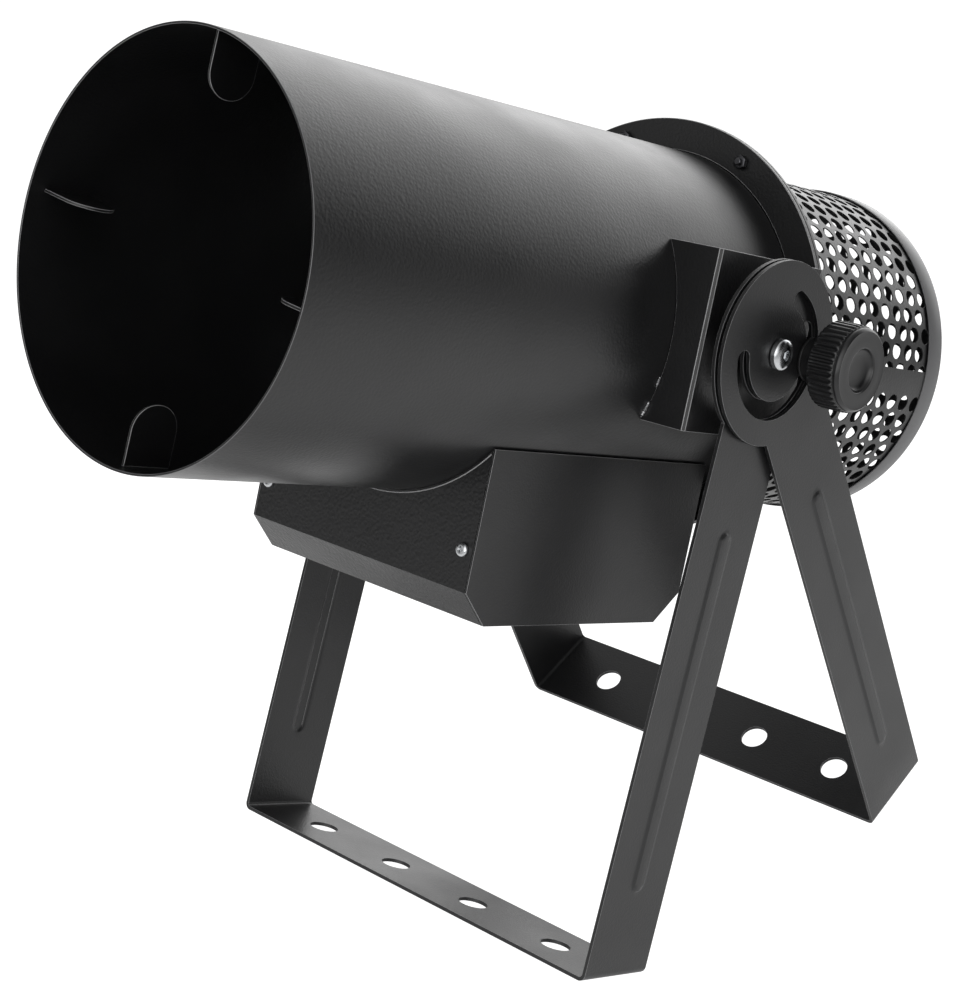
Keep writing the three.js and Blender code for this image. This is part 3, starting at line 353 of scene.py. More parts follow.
def plated(name, dark, light, roughness, mottle, depth):
    """Bare or plated metal: small cloudy differences in colour and shine, and a slight
    unevenness of the surface."""
    material, tree = fresh(name)
    where = add(tree, "ShaderNodeTexCoord").outputs["Object"]
    cloud = add(
        tree, "ShaderNodeTexNoise", {"Scale": per_metre(mottle), "Detail": 5.0, "Roughness": 0.6},
        {"Vector": where},
    )
    colour = add(
        tree, "ShaderNodeMix", {"data_type": "RGBA", 6: linear(dark), 7: linear(light)},
        {0: cloud.outputs["Fac"]},
    )
    shine = add(
        tree, "ShaderNodeMapRange",
        {"From Min": 0.3, "From Max": 0.7, "To Min": roughness - 0.06, "To Max": roughness + 0.08},
        {"Value": cloud.outputs["Fac"]},
    )
    bump = add(
        tree, "ShaderNodeBump", {"Strength": 0.6, "Distance": depth * MM},
        {"Height": cloud.outputs["Fac"]},
    )
    metal = add(
        tree, "ShaderNodeBsdfPrincipled", {"Metallic": 1.0},
        {"Base Color": colour.outputs[2], "Roughness": shine.outputs["Result"],
         "Normal": bump.outputs["Normal"]},
    )
    add(tree, "ShaderNodeOutputMaterial", links={"Surface": metal.outputs["BSDF"]})
    return material


# Black powder coat with a fine leather grain, on the barrel with its tabs, flange and plate,
# the brackets, the cage and the grille. Its bumps break reflections up into a mottled sheen.
powder_coat = coated("black powder-coated steel, leather grain", "#0d0d0e", "#121213", 0.34, 1.6, 0.07)
# The coat of the box's folded tray went on thicker, so its grain stands out more.
box_coat = coated("black powder-coated steel, coarse leather grain", "#0d0d0e", "#131314", 0.36, 1.8, 0.16)
# The coat of the yokes and the box's side plates is finer and smoother, and a little lighter.
yoke_coat = coated("satin powder-coated steel strip", "#0f0f10", "#161617", 0.36, 1.1, 0.06)
# Along cut and folded edges the coat is thin and rubbed to a paler grey. That pale grey is also a painted
# highlight: the bright lines that edges catch from the light.
worn_edge_painted_highlight = coated("coat rubbed thin along an edge, with painted highlight", "#5c5c5d", "#9b9b9c", 0.34, 0.9, 0.02)
# The cage's end ring has a smooth greyer coat, and part of its lighter grey is a painted sheen for the lit wall
# that the ring reflects. The same one edges the barrel's rim, as a painted highlight along it.
ring_coat_painted_sheen = coated("smooth charcoal enamel, painted sheen", "#585859", "#646465", 0.3, 1.2, 0.01)
# The knobs, the spacers and the knobs' washers: dull black, with the fine texture of a mould
knob_plastic = coated("moulded glass-filled polyamide", "#0f0f10", "#151516", 0.3, 0.7, 0.006)
# The fan wheel: a softer, greyer plastic with a wider grain
impeller_plastic = coated("moulded polypropylene", "#151516", "#1d1d1e", 0.42, 1.2, 0.02)
# The inlet and the rocker switch: harder, blacker and smoother
inlet_plastic = coated("moulded thermoset black", "#0d0d0e", "#141415", 0.38, 0.8, 0.015)
# The flange's screws and nuts are blackened, and all other metal fasteners are bright.
black_zinc = plated("black-passivated zinc plate", "#3a3a3c", "#626265", 0.32, 4, 0.01)
bright_zinc = plated("bright zinc-plated steel", "#a9abad", "#d6d8da", 0.2, 6, 0.01)
# Small parts: milky washers between the yokes, a satin grey motor, a shinier red push button,
# and a green circuit board
nylon_white = coated("natural nylon", "#c9c6bb", "#dbd8cf", 0.45, 1.0, 0.01)
motor_paint = coated("stoved grey motor enamel", "#4b4e51", "#5a5d60", 0.4, 1.2, 0.02)
button_red = coated("moulded red ABS", "#8e1512", "#a51c18", 0.3, 1.0, 0.008)
circuit = coated("solder-masked circuit board", "#123a26", "#1a4a31", 0.35, 2.0, 0.01)
# The inlet's pins are silvery with a trace of yellow, and the weld between brackets and barrel
# has bare glints in its paint.
brass = plated("tinned brass contact", "#b9b4a4", "#cfcabc", 0.25, 3, 0.005)
weld_metal = plated("painted-over weld bead", "#3a3a3b", "#c4c4c6", 0.22, 1.0, 0.12)

# Barrel
bore, barrel_radius, muzzle, tail = 98.8, 100.0, -294.0, 60.0
# The bevels of the barrel's rim take the greyer coat: a painted highlight along the rim.
piece(
    "barrel_skin", [turned(band(bore, barrel_radius, muzzle, tail), 240, closed=True)],
    on_barrel, "barrel", powder_coat, "powder_coat", ["barrel_tube"], edge=0.3, wear_and_highlight=ring_coat_painted_sheen,
)


def tab_outline():
    """A muzzle tab from its foot on the bore to its round inner end, as along and radius."""
    start, width, foot, crest, corner = -285.5, 26.0, 98.6, 69.5, 12.5
    left, right = np.linspace(np.pi, 1.5 * np.pi, 13), np.linspace(1.5 * np.pi, TAU, 13)
    arcs = [
        (start + corner + corner * np.cos(left), crest + corner + corner * np.sin(left)),
        (start + width - corner + corner * np.cos(right), crest + corner + corner * np.sin(right)),
    ]
    feet = [[start, foot]], [[start + width, foot]]
    return np.concatenate([feet[0], *[np.stack(arc, 1) for arc in arcs], feet[1]])


def muzzle_tab(angle):
    """The outline lies in a plane through the barrel's axis, turned to its clock angle."""
    turn, thickness = np.radians(angle), 1.5
    made = []
    for points, faces in slab(tab_outline(), thickness):
        x, y, z = points.T
        across, up = z * np.cos(turn) - x * np.sin(turn), z * np.sin(turn) + x * np.cos(turn)
        made.append((np.stack([across, y, up], 1), faces))
    return made


for side, angle in (("right", -6.5), ("top", 87.5), ("left", 172.5), ("bottom", 267.5)):
    piece(
        "muzzle_plate_" + side, muzzle_tab(angle), on_barrel, "barrel", powder_coat, "powder_coat",
        ["muzzle_tab_" + side], edge=0.25, wear_and_highlight=worn_edge_painted_highlight,
    )

flange_rim = 118.0
piece(
    "flange_ring", [turned(band(100.35, flange_rim, tail, 62.5), 192, closed=True)],
    on_barrel, "barrel", powder_coat, "powder_coat", ["barrel_flange"], edge=0.45, wear_and_highlight=worn_edge_painted_highlight,
)


def spoked_plate():
    """The fan's plate as rings of points: between hub and rim each arm keeps its width, so
    its edges lie at the angle whose sine is half the width over the radius."""
    arms, half, window, hub, level = 4, 9.0, 90.0, 47.0, 64.05
    in_arm, in_window = np.linspace(-1, 1, 7), np.linspace(0, 1, 25)[1:-1]
    radii = np.concatenate(
        [[0.0, 12, 24, 36], np.linspace(hub, window, 8), [96, 103, 110, flange_rim]]
    )[:, None]
    columns, is_arm = [], []
    for arm in range(arms):
        middle, edge = arm * TAU / arms, np.arcsin(half / np.clip(radii, hub, window))
        gap = TAU / arms - 2 * edge
        columns += [middle + edge * in_arm, middle + edge + gap * in_window]
        is_arm += [True] * (len(in_arm) - 1) + [False] * (len(in_window) + 1)
    angle = np.concatenate(columns, 1)
    points, faces = grid(radii * np.cos(angle), level, radii * np.sin(angle), False, True)
    open_row = (radii[:-1] >= hub) & (radii[1:] <= window)
    keep = ~(open_row & ~np.array(is_arm)[None, :])
    return points, faces[keep.ravel()]


piece(
    "fan_plate", [spoked_plate()], on_barrel, "barrel", powder_coat, "powder_coat", ["fan_mount_plate"],
    sheet=2.5, edge=0.4,
)


def chamfered_hexagon(flats):
    """A nut's outline: no further out than its hexagon, nor than its turned chamfer."""
    return lambda angle, radius, along: np.minimum(radius, hexagon(angle, flats))


def nut(flats, start, end, axis, middle, hole):
    """A hexagon nut: each end is flat out to 0.95 of half its width across the flats, and
    from there a cone falls away to beyond the corners."""
    half, flat, slope = flats / 2, 0.95, 0.55
    steps = np.linspace(flat, 1.17, 7)[1:]
    rows = [(hole, start), (half * flat, start)]
    rows += [(half * s, start + half * (s - flat) * slope) for s in steps]
    rows += [(half * s, end - half * (s - flat) * slope) for s in steps[::-1]]
    rows += [(half * flat, end), (hole, end)]
    return turned(rows, 72, axis, middle, True, chamfered_hexagon(flats))


def cross(angle, half, length):
    """Distance from the middle to the edge of a cross-shaped recess."""
    folded = np.abs((angle + TAU / 8) % (TAU / 4) - TAU / 8)
    return np.minimum(length, half / np.maximum(np.sin(folded), 1e-6))


def pan_head(shank, head, height, length, facing, middle):
    """A pan-head screw along Y: its seat is at 0, its shank runs back, and its domed head has
    a cross recess, made of the last four rows, that narrows with depth."""
    arc = np.linspace(0, np.pi / 2, 8)
    face = head * 0.52
    dome = [(face + (head - face) * np.cos(a), height * (0.35 + 0.65 * np.sin(a))) for a in arc]
    rows = [(0, -length), (shank * 0.8, -length), (shank, -length + 0.4), (shank, 0), (head, 0)]
    recess = [
        (face * 0.93, height), (face * 0.9, height - 0.1), (face * 0.55, height - 0.9),
        (0, height - 1.0),
    ]
    rows = np.array(rows + dome + recess)

    def shape(angle, radius, along):
        inner = np.arange(len(rows))[:, None] >= len(rows) - len(recess)
        return np.where(inner & (radius > 0), cross(angle, radius * 0.3, radius), radius)

    rows[:, 1] *= facing
    return turned(rows, 64, "y", middle, shape=shape)


screw_circle, first_screw, screw_step = 109, 20.5, 45  # a radius, and clock angles in degrees
for index in range(8):
    clock = np.radians(first_screw + screw_step * index)
    x, z = screw_circle * np.cos(clock), screw_circle * np.sin(clock)
    screw = [pan_head(2, 4, 2.4, 11.1, 1, (x, 65.6, z)), nut(7, 56.5, 59.7, "y", (x, 0, z), 1.9)]
    piece(
        "flange_screw_" + str(index + 1), screw,
        on_barrel, "barrel", black_zinc, "zinc", ["flange_bolt_" + str(index + 1)], sharp=30,
    )

# Intake cage and its rear
hole_pitch, hole_radius = 12.7, 4.75
row_pitch = hole_pitch * np.sqrt(3) / 2
cell_sides = 16  # points on a cell's edge, and as many on its hole


def cell_faces(cells):
    """Faces of that many cells: a ring of them from each cell's edge to its hole."""
    first = 2 * cell_sides * np.arange(cells)[:, None, None]
    return quads(2, cell_sides, False, True)[None] + first


def perforation(columns, rows, x0, y0, shifts=(0.5, 1.0)):
    """Cells of a sheet with holes in rows that are shifted by half a pitch in turn. Each cell
    has its points on a rectangle's edge and then as many on the circle of its hole."""
    side = np.linspace(-0.5, 0.5, cell_sides // 4 + 1)[:-1]
    low = np.stack([side, np.full(len(side), -0.5)], 1)
    right = np.stack([np.full(len(side), 0.5), side], 1)
    edge = np.concatenate([low, right, -low, -right]) * [hole_pitch, row_pitch]
    angle = np.arctan2(-0.5 * row_pitch, -0.5 * hole_pitch) + np.arange(cell_sides) * TAU / cell_sides
    circle = hole_radius * np.stack([np.cos(angle), np.sin(angle)], 1)
    column, row = np.meshgrid(np.arange(columns), np.arange(rows))
    shift = np.where(row % 2, shifts[1], shifts[0])
    middle = np.stack([x0 + (column + shift) * hole_pitch, y0 + (row + 0.5) * row_pitch], -1)
    points = (middle.reshape(-1, 1, 1, 2) + np.stack([edge, circle])).reshape(-1, 2)
    return points, cell_faces(columns * rows).reshape(-1, 4)


def flat_grid(xs, ys):
    """A plain part of a flat sheet, with points where the lines at xs and ys cross."""
    x, y = np.meshgrid(xs, ys)
    return np.stack([x, y], -1).reshape(-1, 2), quads(len(ys), len(xs))


def rolled_cage():
    """A flat perforated sheet rolled up with its rows of holes along the barrel: the place
    across it, over the roll's radius, gives the angle. Its plain first edge lies over its last
    holes: there the radius is greater by the lift, which a smooth step takes away again."""
    front, rear, start, plain, along, around = 65.9, 223.7, 69.35, 14.3, 11, 55
    roll, inner, lift, run_out, first_edge = 97.5, 97.8, 0.72, 30, 2.3
    end, length = start + (along + 0.5) * hole_pitch, plain + around * row_pitch
    holes, faces = perforation(along, around, start, plain, (1.0, 0.5))
    strip = np.linspace(0, plain, 9)
    rows = np.concatenate([strip[:-1], np.linspace(plain, length, 4 * around + 1)])
    half = np.array([0, 0.25, 0.5]) * hole_pitch
    flat = [(holes, faces), flat_grid(np.linspace(start, end, 4 * along + 3), strip)]
    flat += [flat_grid(np.linspace(*ends, 3), rows) for ends in ((front, start), (end, rear))]
    for row in range(around):
        places = plain + row_pitch * (row + np.linspace(0, 1, 5))
        flat.append(flat_grid((end - half[::-1]) if row % 2 else start + half, places))
    made = []
    for points, faces in flat:
        y, s = points.T
        share = np.clip((s - plain) / run_out, 0, 1)
        level = inner + lift * (1 - share * share * (3 - 2 * share))
        angle = np.radians(first_edge) - s / roll
        made.append((np.stack([level * np.cos(angle), y, level * np.sin(angle)], 1), faces))
    return made


piece(
    "perforated_cage", rolled_cage(), on_barrel, "barrel", powder_coat, "powder_coat", ["intake_cage"],
    sheet=0.7, sharp=60,
)


def rear_sheet():
    """The same holes in a flat sheet. What lies past the sheet's round edge is moved in to
    it, and cells near that edge stay plain."""
    edge, plain_from, level = 95.3, 86.5, 226.0
    columns, rows = 16, 19
    x0, y0 = -hole_pitch * (columns / 2 + 0.25), -row_pitch * rows / 2
    points, _ = perforation(columns, rows, x0, y0)
    cells = points.reshape(-1, 2 * cell_sides, 2)
    middles = cells[:, cell_sides:].mean(1, keepdims=True)
    far = np.hypot(*middles[:, 0].T)
    open_cell = far < plain_from
    rings = cell_faces(len(cells))[open_cell]
    # A plain cell is a fan of four-sided faces from its middle, its last point, to its edge.
    is_plain = ~open_cell & (far < edge + 10)
    plain = np.concatenate([cells[is_plain, :cell_sides], middles[is_plain]], 1)
    around = np.arange(0, cell_sides, 2)
    fan = np.stack(
        [np.full(len(around), cell_sides), around, around + 1, (around + 2) % cell_sides], 1
    )
    fans = fan[None] + (cell_sides + 1) * np.arange(len(plain))[:, None, None]
    made = []
    for flat, faces in ((points, rings), (plain.reshape(-1, 2), fans)):
        faces = faces.reshape(-1, 4)
        away = np.hypot(*flat.T)
        keep = (away[faces] < edge).any(1)
        x, z = (flat * np.minimum(1, edge / np.maximum(away, 1e-6))[:, None]).T
        made.append((np.stack([x, np.full(len(x), level), z], 1), faces[keep]))
    return made


piece(
    "rear_mesh", rear_sheet(), on_barrel, "barrel", powder_coat, "powder_coat", ["rear_grille"],
    sheet=0.8, edge=0.1, sharp=60,
)

# The end ring's bend: its outside and its inside turn about the same middle.
arc = np.linspace(0, np.pi / 2, 9)
outside, inside = [
    np.stack([98.0 + bend * np.cos(arc), 226.2 + bend * np.sin(arc)], 1) for bend in (1.25, 0.6)
]
front_lip = [(98.6, 212.0), (99.05, 212.0), (99.25, 212.3)]
inner_lip = [(91.0, 227.45), (90.65, 227.1), (91.0, 226.8)]
ring_profile = np.concatenate([front_lip, outside, inner_lip, inside[::-1]])
# The ring's greyer coat is partly a painted sheen.
piece(
    "rear_ring", [turned(ring_profile, 192, closed=True)],
    on_barrel, "barrel", ring_coat_painted_sheen, "powder_coat", ["cage_end_ring"], sharp=50,
)

# Fan and its guard
def guard_wires():
    """Rings and spokes of round wire in a flat rim, with a domed disc in the middle."""

    def wire(away, angle, y, thick, closed):
        """A wire in the plane at y, by distance and angle from the axis."""
        x, y, z = np.broadcast_arrays(away * np.cos(angle), y, away * np.sin(angle))
        return swept(np.stack([x, y, z], 1), thick, 10, closed)

    spokes, clock = 6, np.linspace(0, TAU, 96, endpoint=False)
    made = joined(*[wire(size, clock, -75.6, 1.1, True) for size in (16.5, 53.3)])
    for spoke in range(spokes):
        made += wire(np.linspace(15, 93, 9), spoke * TAU / spokes, -74.7, 1.3, False)
    rim = eased(band(90.5, 98.4, -76, -74.4), 0.5)
    hub = [(0, -75.0), (12, -75.0), (13.4, -74.6), (14, -74), (13.4, -73.4), (0, -73.2)]
    return made + [turned(rim, 144, closed=True), turned(hub, 48)]


piece("guard_wires", guard_wires(), on_barrel, "barrel", bright_zinc, "guard_wire", ["load_guard"])

# From the bottom of the motor's bore round its nose, grooves and rear to the axis again
motor_profile = [
    (0, 34.5), (5.5, 34.5), (5.5, 4.9), (5.9, 4.5), (16.3, 4.5), (17, 5.2), (17, 10.3), (17.6, 10.9),
    (36.5, 11.1), (39.5, 12.0), (42.4, 14.4), (43.6, 16.6), (44, 19), (44, 23.8), (43.2, 24.4),
    (43.2, 25.6), (44, 26.2), (44, 54.8), (43.2, 55.4), (43.2, 56.6), (44, 57.2), (44, 61.8),
    (43.3, 62.5), (0, 62.5),
]
piece(
    "motor_can", [turned(motor_profile, 96)], on_barrel, "barrel",
    motor_paint, "motor_can", ["fan_motor"], sharp=30,
)
piece(
    "motor_shaft",
    [turned([(0, -55.4), (4.4, -55.4), (5, -54.8), (5, 34.2), (0, 34.2)], 32)],
    on_barrel, "fan", bright_zinc, "zinc", ["fan_shaft"],
)


blades = 7


def blade(index):
    """A fan blade: a thin rounded section, arched across its width, whose pitch falls from
    the hub to the tip and whose corners are rounded by narrowing the last sections."""
    hub, tip, hub_pitch, tip_pitch, around, level = 30, 93.6, 52, 28, 28, -35.4
    share = np.concatenate([np.linspace(0, 0.88, 12), [0.93, 0.965, 0.985, 1.0]])[:, None]
    radius_here = hub + share * (tip - hub)
    pitch = np.radians(hub_pitch + share * (tip_pitch - hub_pitch))
    narrowing = np.sqrt(np.clip(1 - ((share - 0.8) / 0.32) ** 4 * (share > 0.8), 0, 1))
    chord = np.minimum(46, 34 / np.sin(pitch) - 2.6) * narrowing
    t = np.linspace(0, TAU, around, endpoint=False)[None, :]
    along = chord / 2 * np.cos(t)
    thick = (1.25 - 0.35 * share) * np.sin(t) * np.sqrt(np.abs(np.sin(t)) + 0.05)
    normal = thick - 1.6 * (1 - np.cos(t) ** 2)
    x = along * np.cos(pitch) - normal * np.sin(pitch)
    y = along * np.sin(pitch) + normal * np.cos(pitch)
    angle = index * TAU / blades + x / radius_here
    across, up = radius_here * np.cos(angle), radius_here * np.sin(angle)
    points, faces = grid(across, y + level, up, False, True)
    return [(points, faces)] + lids(points, around)


hub_profile = [
    (5.3, -52.4), (24, -52.4), (27.2, -51.9), (30, -50.6), (31.5, -48.8), (32, -46.6), (32, -18.7),
    (31.7, -18.4), (28.3, -18.4), (28, -18.7), (28, -46), (27, -48), (25, -48.4), (10, -48.4),
    (9.3, -47.6), (9.3, -18.6), (5.3, -18.4),
]
piece(
    "fan_wheel", joined(turned(hub_profile, 72, closed=True), *[blade(i) for i in range(blades)]),
    on_barrel, "fan", impeller_plastic, "moulded_black", ["fan_impeller"], sharp=35,
)


# Yokes
stud_away = 29.5  # from the pivots' axis to the clamps' studs, which the arc slots follow


def yoke_half(outer, leg):
    """Right half of a yoke's middle surface: the strap from the middle out, its round bend,
    the leg with its pressed rib, and the round head with its arc slot. Rings of the head
    share their points with the leg's top where the leg joins it."""
    middle, sheet_bend = outer - 1.0, 3.0
    half, head, slot_half, hole = 26.0, 47.7, 5.0, 8.25
    near = [0, 1.6, 3.25, 4.0, 4.75, 6.5, 8.5, 11, 14]
    cell = np.array([-y for y in near[:0:-1]] + near, float)
    across = np.concatenate([[-half, -22, -18], cell, [18, 22, half]])
    made = []

    # strap between its holes, at the height of its middle surface
    low = 1 - leg
    bend_x = middle - sheet_bend
    spans = [np.array([0, 8, 16.0]), np.array([44, 54, 66, 76.0]), np.array([104, 110, 118, bend_x])]
    for xs in spans:
        made.append(grid(xs[:, None], across[None, :], low))
    for hole_x in (30, 90):
        for ys in (across[:4], across[-4:]):
            made.append(grid(hole_x + cell[:, None], ys[None, :], low))
        flat, faces = round_cell((hole_x + cell).tolist(), cell.tolist(), hole, 3)
        flat = flat.reshape(-1, 2)
        made.append((np.stack([flat[:, 0], flat[:, 1], np.full(len(flat), low)], 1), faces))
    turn = np.linspace(0, np.pi / 2, 7)[:, None]
    bend_z = low + sheet_bend * (1 - np.cos(turn))
    made.append(grid(bend_x + sheet_bend * np.sin(turn), across[None, :], bend_z))

    # leg with its rib: the height is a smooth step of the distance to the rib's middle line
    rib_half, slope, rise = 4.75, 1.7, 1.0
    rib_top, rib_low, leg_top = -98.75, 50.75 - leg, -60
    ends = np.array([8.0, 4.75, 4.0, 3.25, 1.6, 0.0])
    rows = np.concatenate([
        np.linspace(low + sheet_bend, rib_low - 8, 3)[:-1], rib_low - ends,
        np.linspace(rib_low, rib_top, 9)[1:-1], (rib_top + ends)[::-1], [-80, -70, leg_top],
    ])[:, None]
    beyond = np.maximum(0, np.maximum(rib_low - rows, rows - rib_top))
    inward = np.clip((rib_half - np.hypot(beyond, across[None, :])) / slope, 0, 1)
    pressed_out = middle + rise * inward * inward * (3 - 2 * inward)
    made.append(grid(pressed_out, across[None, :], rows))
    crown = -np.sqrt(head**2 - across**2)[None, :]
    share = np.linspace(0, 1, 5)[:, None]
    made.append(grid(middle, across[None, :], leg_top + share * (crown - leg_top)))

    # round head in rings, its angle counted from straight down
    slot_end = np.radians(121)
    in_leg = np.arcsin(across / head)
    up_side = np.linspace(in_leg[-1], slot_end, 23)[1:]
    over = np.linspace(slot_end, TAU - slot_end, 31)[1:]
    angle = np.concatenate([in_leg, up_side, over, TAU - up_side[-2::-1]])[None, :]

    def ring(radii, angle, closed):
        """Part of the flat head by radius and angle."""
        return grid(middle, radii * np.sin(angle), -radii * np.cos(angle), False, closed)

    made.append(ring(np.array([4.3, 11, 18, stud_away - slot_half])[:, None], angle, True))
    made.append(ring(np.array([stud_away + slot_half, 40, head])[:, None], angle, True))
    # the slot's round end: its angle at each radius, by the cosine rule
    radii = (stud_away - slot_half * np.cos(np.linspace(0, np.pi, 17)))[:, None]
    cosine = (radii**2 + stud_away**2 - slot_half**2) / (2 * stud_away * radii)
    cap = slot_end + np.arccos(np.clip(cosine, -1, 1))
    share = np.linspace(0, 1, 31)[None, :]
    made.append(ring(radii, cap + share * (TAU - 2 * cap), False))
    return made


for name, node, outer, leg, place in (
    ("front_strip", "front_yoke", 130.8, 330.0, on_front_yoke),
    ("rear_strip", "rear_yoke", 134.6, 336.0, on_rear_yoke),
):
    half = yoke_half(outer, leg)
    piece(
        name, joined(half, mirrored(half)), place, node, yoke_coat, "satin_coat", [node],
        sheet=2.0, edge=0.4, sharp=30, weld=0.02, wear_and_highlight=worn_edge_painted_highlight,
    )


# Pivots and clamps
def bracket_sheet():
    """Middle surface of the folded channel: its flanges reach in to the barrel, whose
    surface is at the root of 100.3 squared less the height squared."""
    front, rear, face, bend = -43.5, 47.0, 118.0, 0.9
    height = np.linspace(-41.5, 50.5, 25)[None, :]
    root = np.sqrt(100.3**2 - height**2)
    turn = np.linspace(0, np.pi / 2, 2)[:, None]  # each fold is pressed as one narrow flat
    share = np.linspace(0, 1, 5)[:, None]
    inner = face - bend
    parts = (
        (root + share * (inner - root), front),
        (inner + bend * np.sin(turn) + 0 * height, front + bend * (1 - np.cos(turn))),
        (inner + bend * np.cos(turn) + 0 * height, rear - bend * (1 - np.sin(turn))),
        (inner + share * (root - inner), rear),
    )
    x = np.concatenate([x for x, _ in parts])
    y = np.concatenate([np.broadcast_to(y, x.shape) for x, y in parts])
    return grid(x, y, height)


def collar(outer, span, y):
    """A spacer or washer on a bolt along X, with its outer edges eased."""
    hole, ease = 4.3, 0.4
    profile = eased(band(hole, outer, *span), [0, ease, ease, 0])
    return turned(profile, 64, "x", (0, y, pivot_rise), True)


def thread(pitch, depth, start, end):
    """Depth of a screw thread: a triangle wave of the place along the axis, which moves on by
    one pitch for each turn."""

    def shape(angle, radius, along):
        turns = along / pitch - angle / TAU
        wave = np.abs(2 * (turns - np.floor(turns + 0.5)))
        cut = (along > start) & (along < end)
        return radius - np.where(cut & (radius > 0), depth * wave, 0)

    return shape


bolt_tip = [(0, 108.2), (3.1, 108.2), (3.9, 108.9)]  # the chamfered end of bolts and studs


def socket_bolt():
    """A button-head bolt: shank, thread, domed head and hexagon socket."""
    seat, top, flats, dome = 134.9, 139.9, 4.9, 2.6
    arc = np.linspace(0, np.arccos(3.2 / 8.0), 14)
    rows = bolt_tip + [(4.0, a) for a in np.arange(109, 117.01, 0.16)]
    rows += [(4, seat), (7.7, seat), (8, 135.2)]
    rows += [(8 * np.cos(a), top - dome + dome * np.sin(a)) for a in arc]
    rim = len(rows)
    rows += [(2.95, top - 0.25), (2.9, top - 0.5), (2.9, top - 2.4), (0, top - 3.0)]
    turn_thread = thread(1.25, 0.55, 109.05, 116.9)

    def shape(angle, radius, along):
        inner = np.arange(len(rows))[:, None] >= rim
        radius = np.where(inner & (radius > 0), np.minimum(radius, hexagon(angle, flats)), radius)
        return turn_thread(angle, radius, along)

    return turned(rows, 72, "x", (0, 0, pivot_rise), shape=shape)


def clamp_stud():
    """A stud threaded from its inner end to the knob, which holds its plain outer end."""
    rows = bolt_tip + [(4.0, a) for a in np.arange(109, 136.01, 0.16)]
    rows += [(4, 136.2), (4, 150.4), (0, 150.4)]
    return turned(rows, 48, "x", (0, stud_away, pivot_rise), shape=thread(1.25, 0.5, 109.05, 135.9))


def clamp_knob():
    """A round knob: its grooves are a clipped cosine round the grip, which run out at both
    ends, and its flat face has a fine edge and a dimple."""
    ribs, depth, grip_start, grip_end, run_out = 42, 1.25, 147.0, 162.75, 1.5
    bore_and_neck = [
        (0, 150.7), (4.3, 150.7), (4.3, 137.0), (4.6, 136.7), (12.0, 136.7), (12.5, 137.2),
        (12.5, 145.4), (12.9, 146.4), (14.2, 147.0), (20.4, 147.0), (21.4, 147.15), (22.0, 147.5),
    ]
    grip_rows = [
        (22.5, 148.0), (22.8, 148.8), (22.8, 152), (22.8, 156), (22.8, 160), (22.8, 161.0),
        (22.7, 161.7), (22.4, 162.3), (21.9, 162.7), (21.5, 162.8), (21.3, 163.0), (21.3, 163.2),
    ]
    face_edge = [
        (21.6, 163.4), (21.7, 163.7), (21.7, 164.3), (21.5, 164.8), (21.0, 165.3), (20.6, 165.75),
        (20.2, 166.0), (19.8, 165.95), (19.4, 165.9), (15.8, 165.9), (12.2, 165.9),
    ]
    dimple = [
        (11.7, 165.85), (11.4, 165.6), (11.2, 165.0), (10.9, 164.2), (10.2, 163.4), (9.0, 162.9),
        (7.2, 162.6), (4, 162.5), (0, 162.5),
    ]

    def shape(angle, radius, along):
        grip = (radius > 20.0) & (along > grip_start) & (along < grip_end)
        fade = np.clip(np.minimum(along - grip_start, grip_end - along) / run_out, 0, 1)
        groove = np.clip(0.5 - 0.9 * np.cos(ribs * angle), 0, 1)
        return radius - np.where(grip, depth * groove * fade, 0)

    rows = bore_and_neck + grip_rows + face_edge + dimple
    return turned(rows, ribs * 8, "x", (0, stud_away, pivot_rise), shape=shape)


def weld_bead(y, heights, size):
    """A short run of weld on the barrel: a bar whose thickness ripples along it by two waves
    and runs out at both ends as the root of half a sine."""
    steps = np.linspace(0, 1, 33)
    height = heights[0] + steps * (heights[1] - heights[0])
    away = np.sqrt(100.2**2 - height**2) + 0.2
    path = np.stack([away, np.full(len(steps), y), height], 1)
    ripple = size * (0.78 + 0.16 * np.cos(steps * 40) + 0.1 * np.sin(steps * 17))
    run_out = np.sqrt(np.sin(np.pi * np.clip(steps, 0.02, 0.98)))
    return swept(path, ripple * run_out)


def pivot_and_stud_nut(y):
    """The nut behind the bracket, on the pivot's bolt or on the clamp's stud."""
    return [nut(13, 110.2, 116.7, "x", (0, y, pivot_rise), 4.2)]


welds = joined(*[
    weld_bead(y, heights, size)
    for y, heights, size in ((-45.3, (-23.5, -18), 1.6), (-45.3, (-40, -31.5), 1.9), (48.6, (-8, 14), 1.2))
])
pressed = {"sheet": 2.0, "edge": 0.4, "wear_and_highlight": worn_edge_painted_highlight}
spacer_span = (119.3, 128.5)  # between the bracket and the front yoke, the inner one
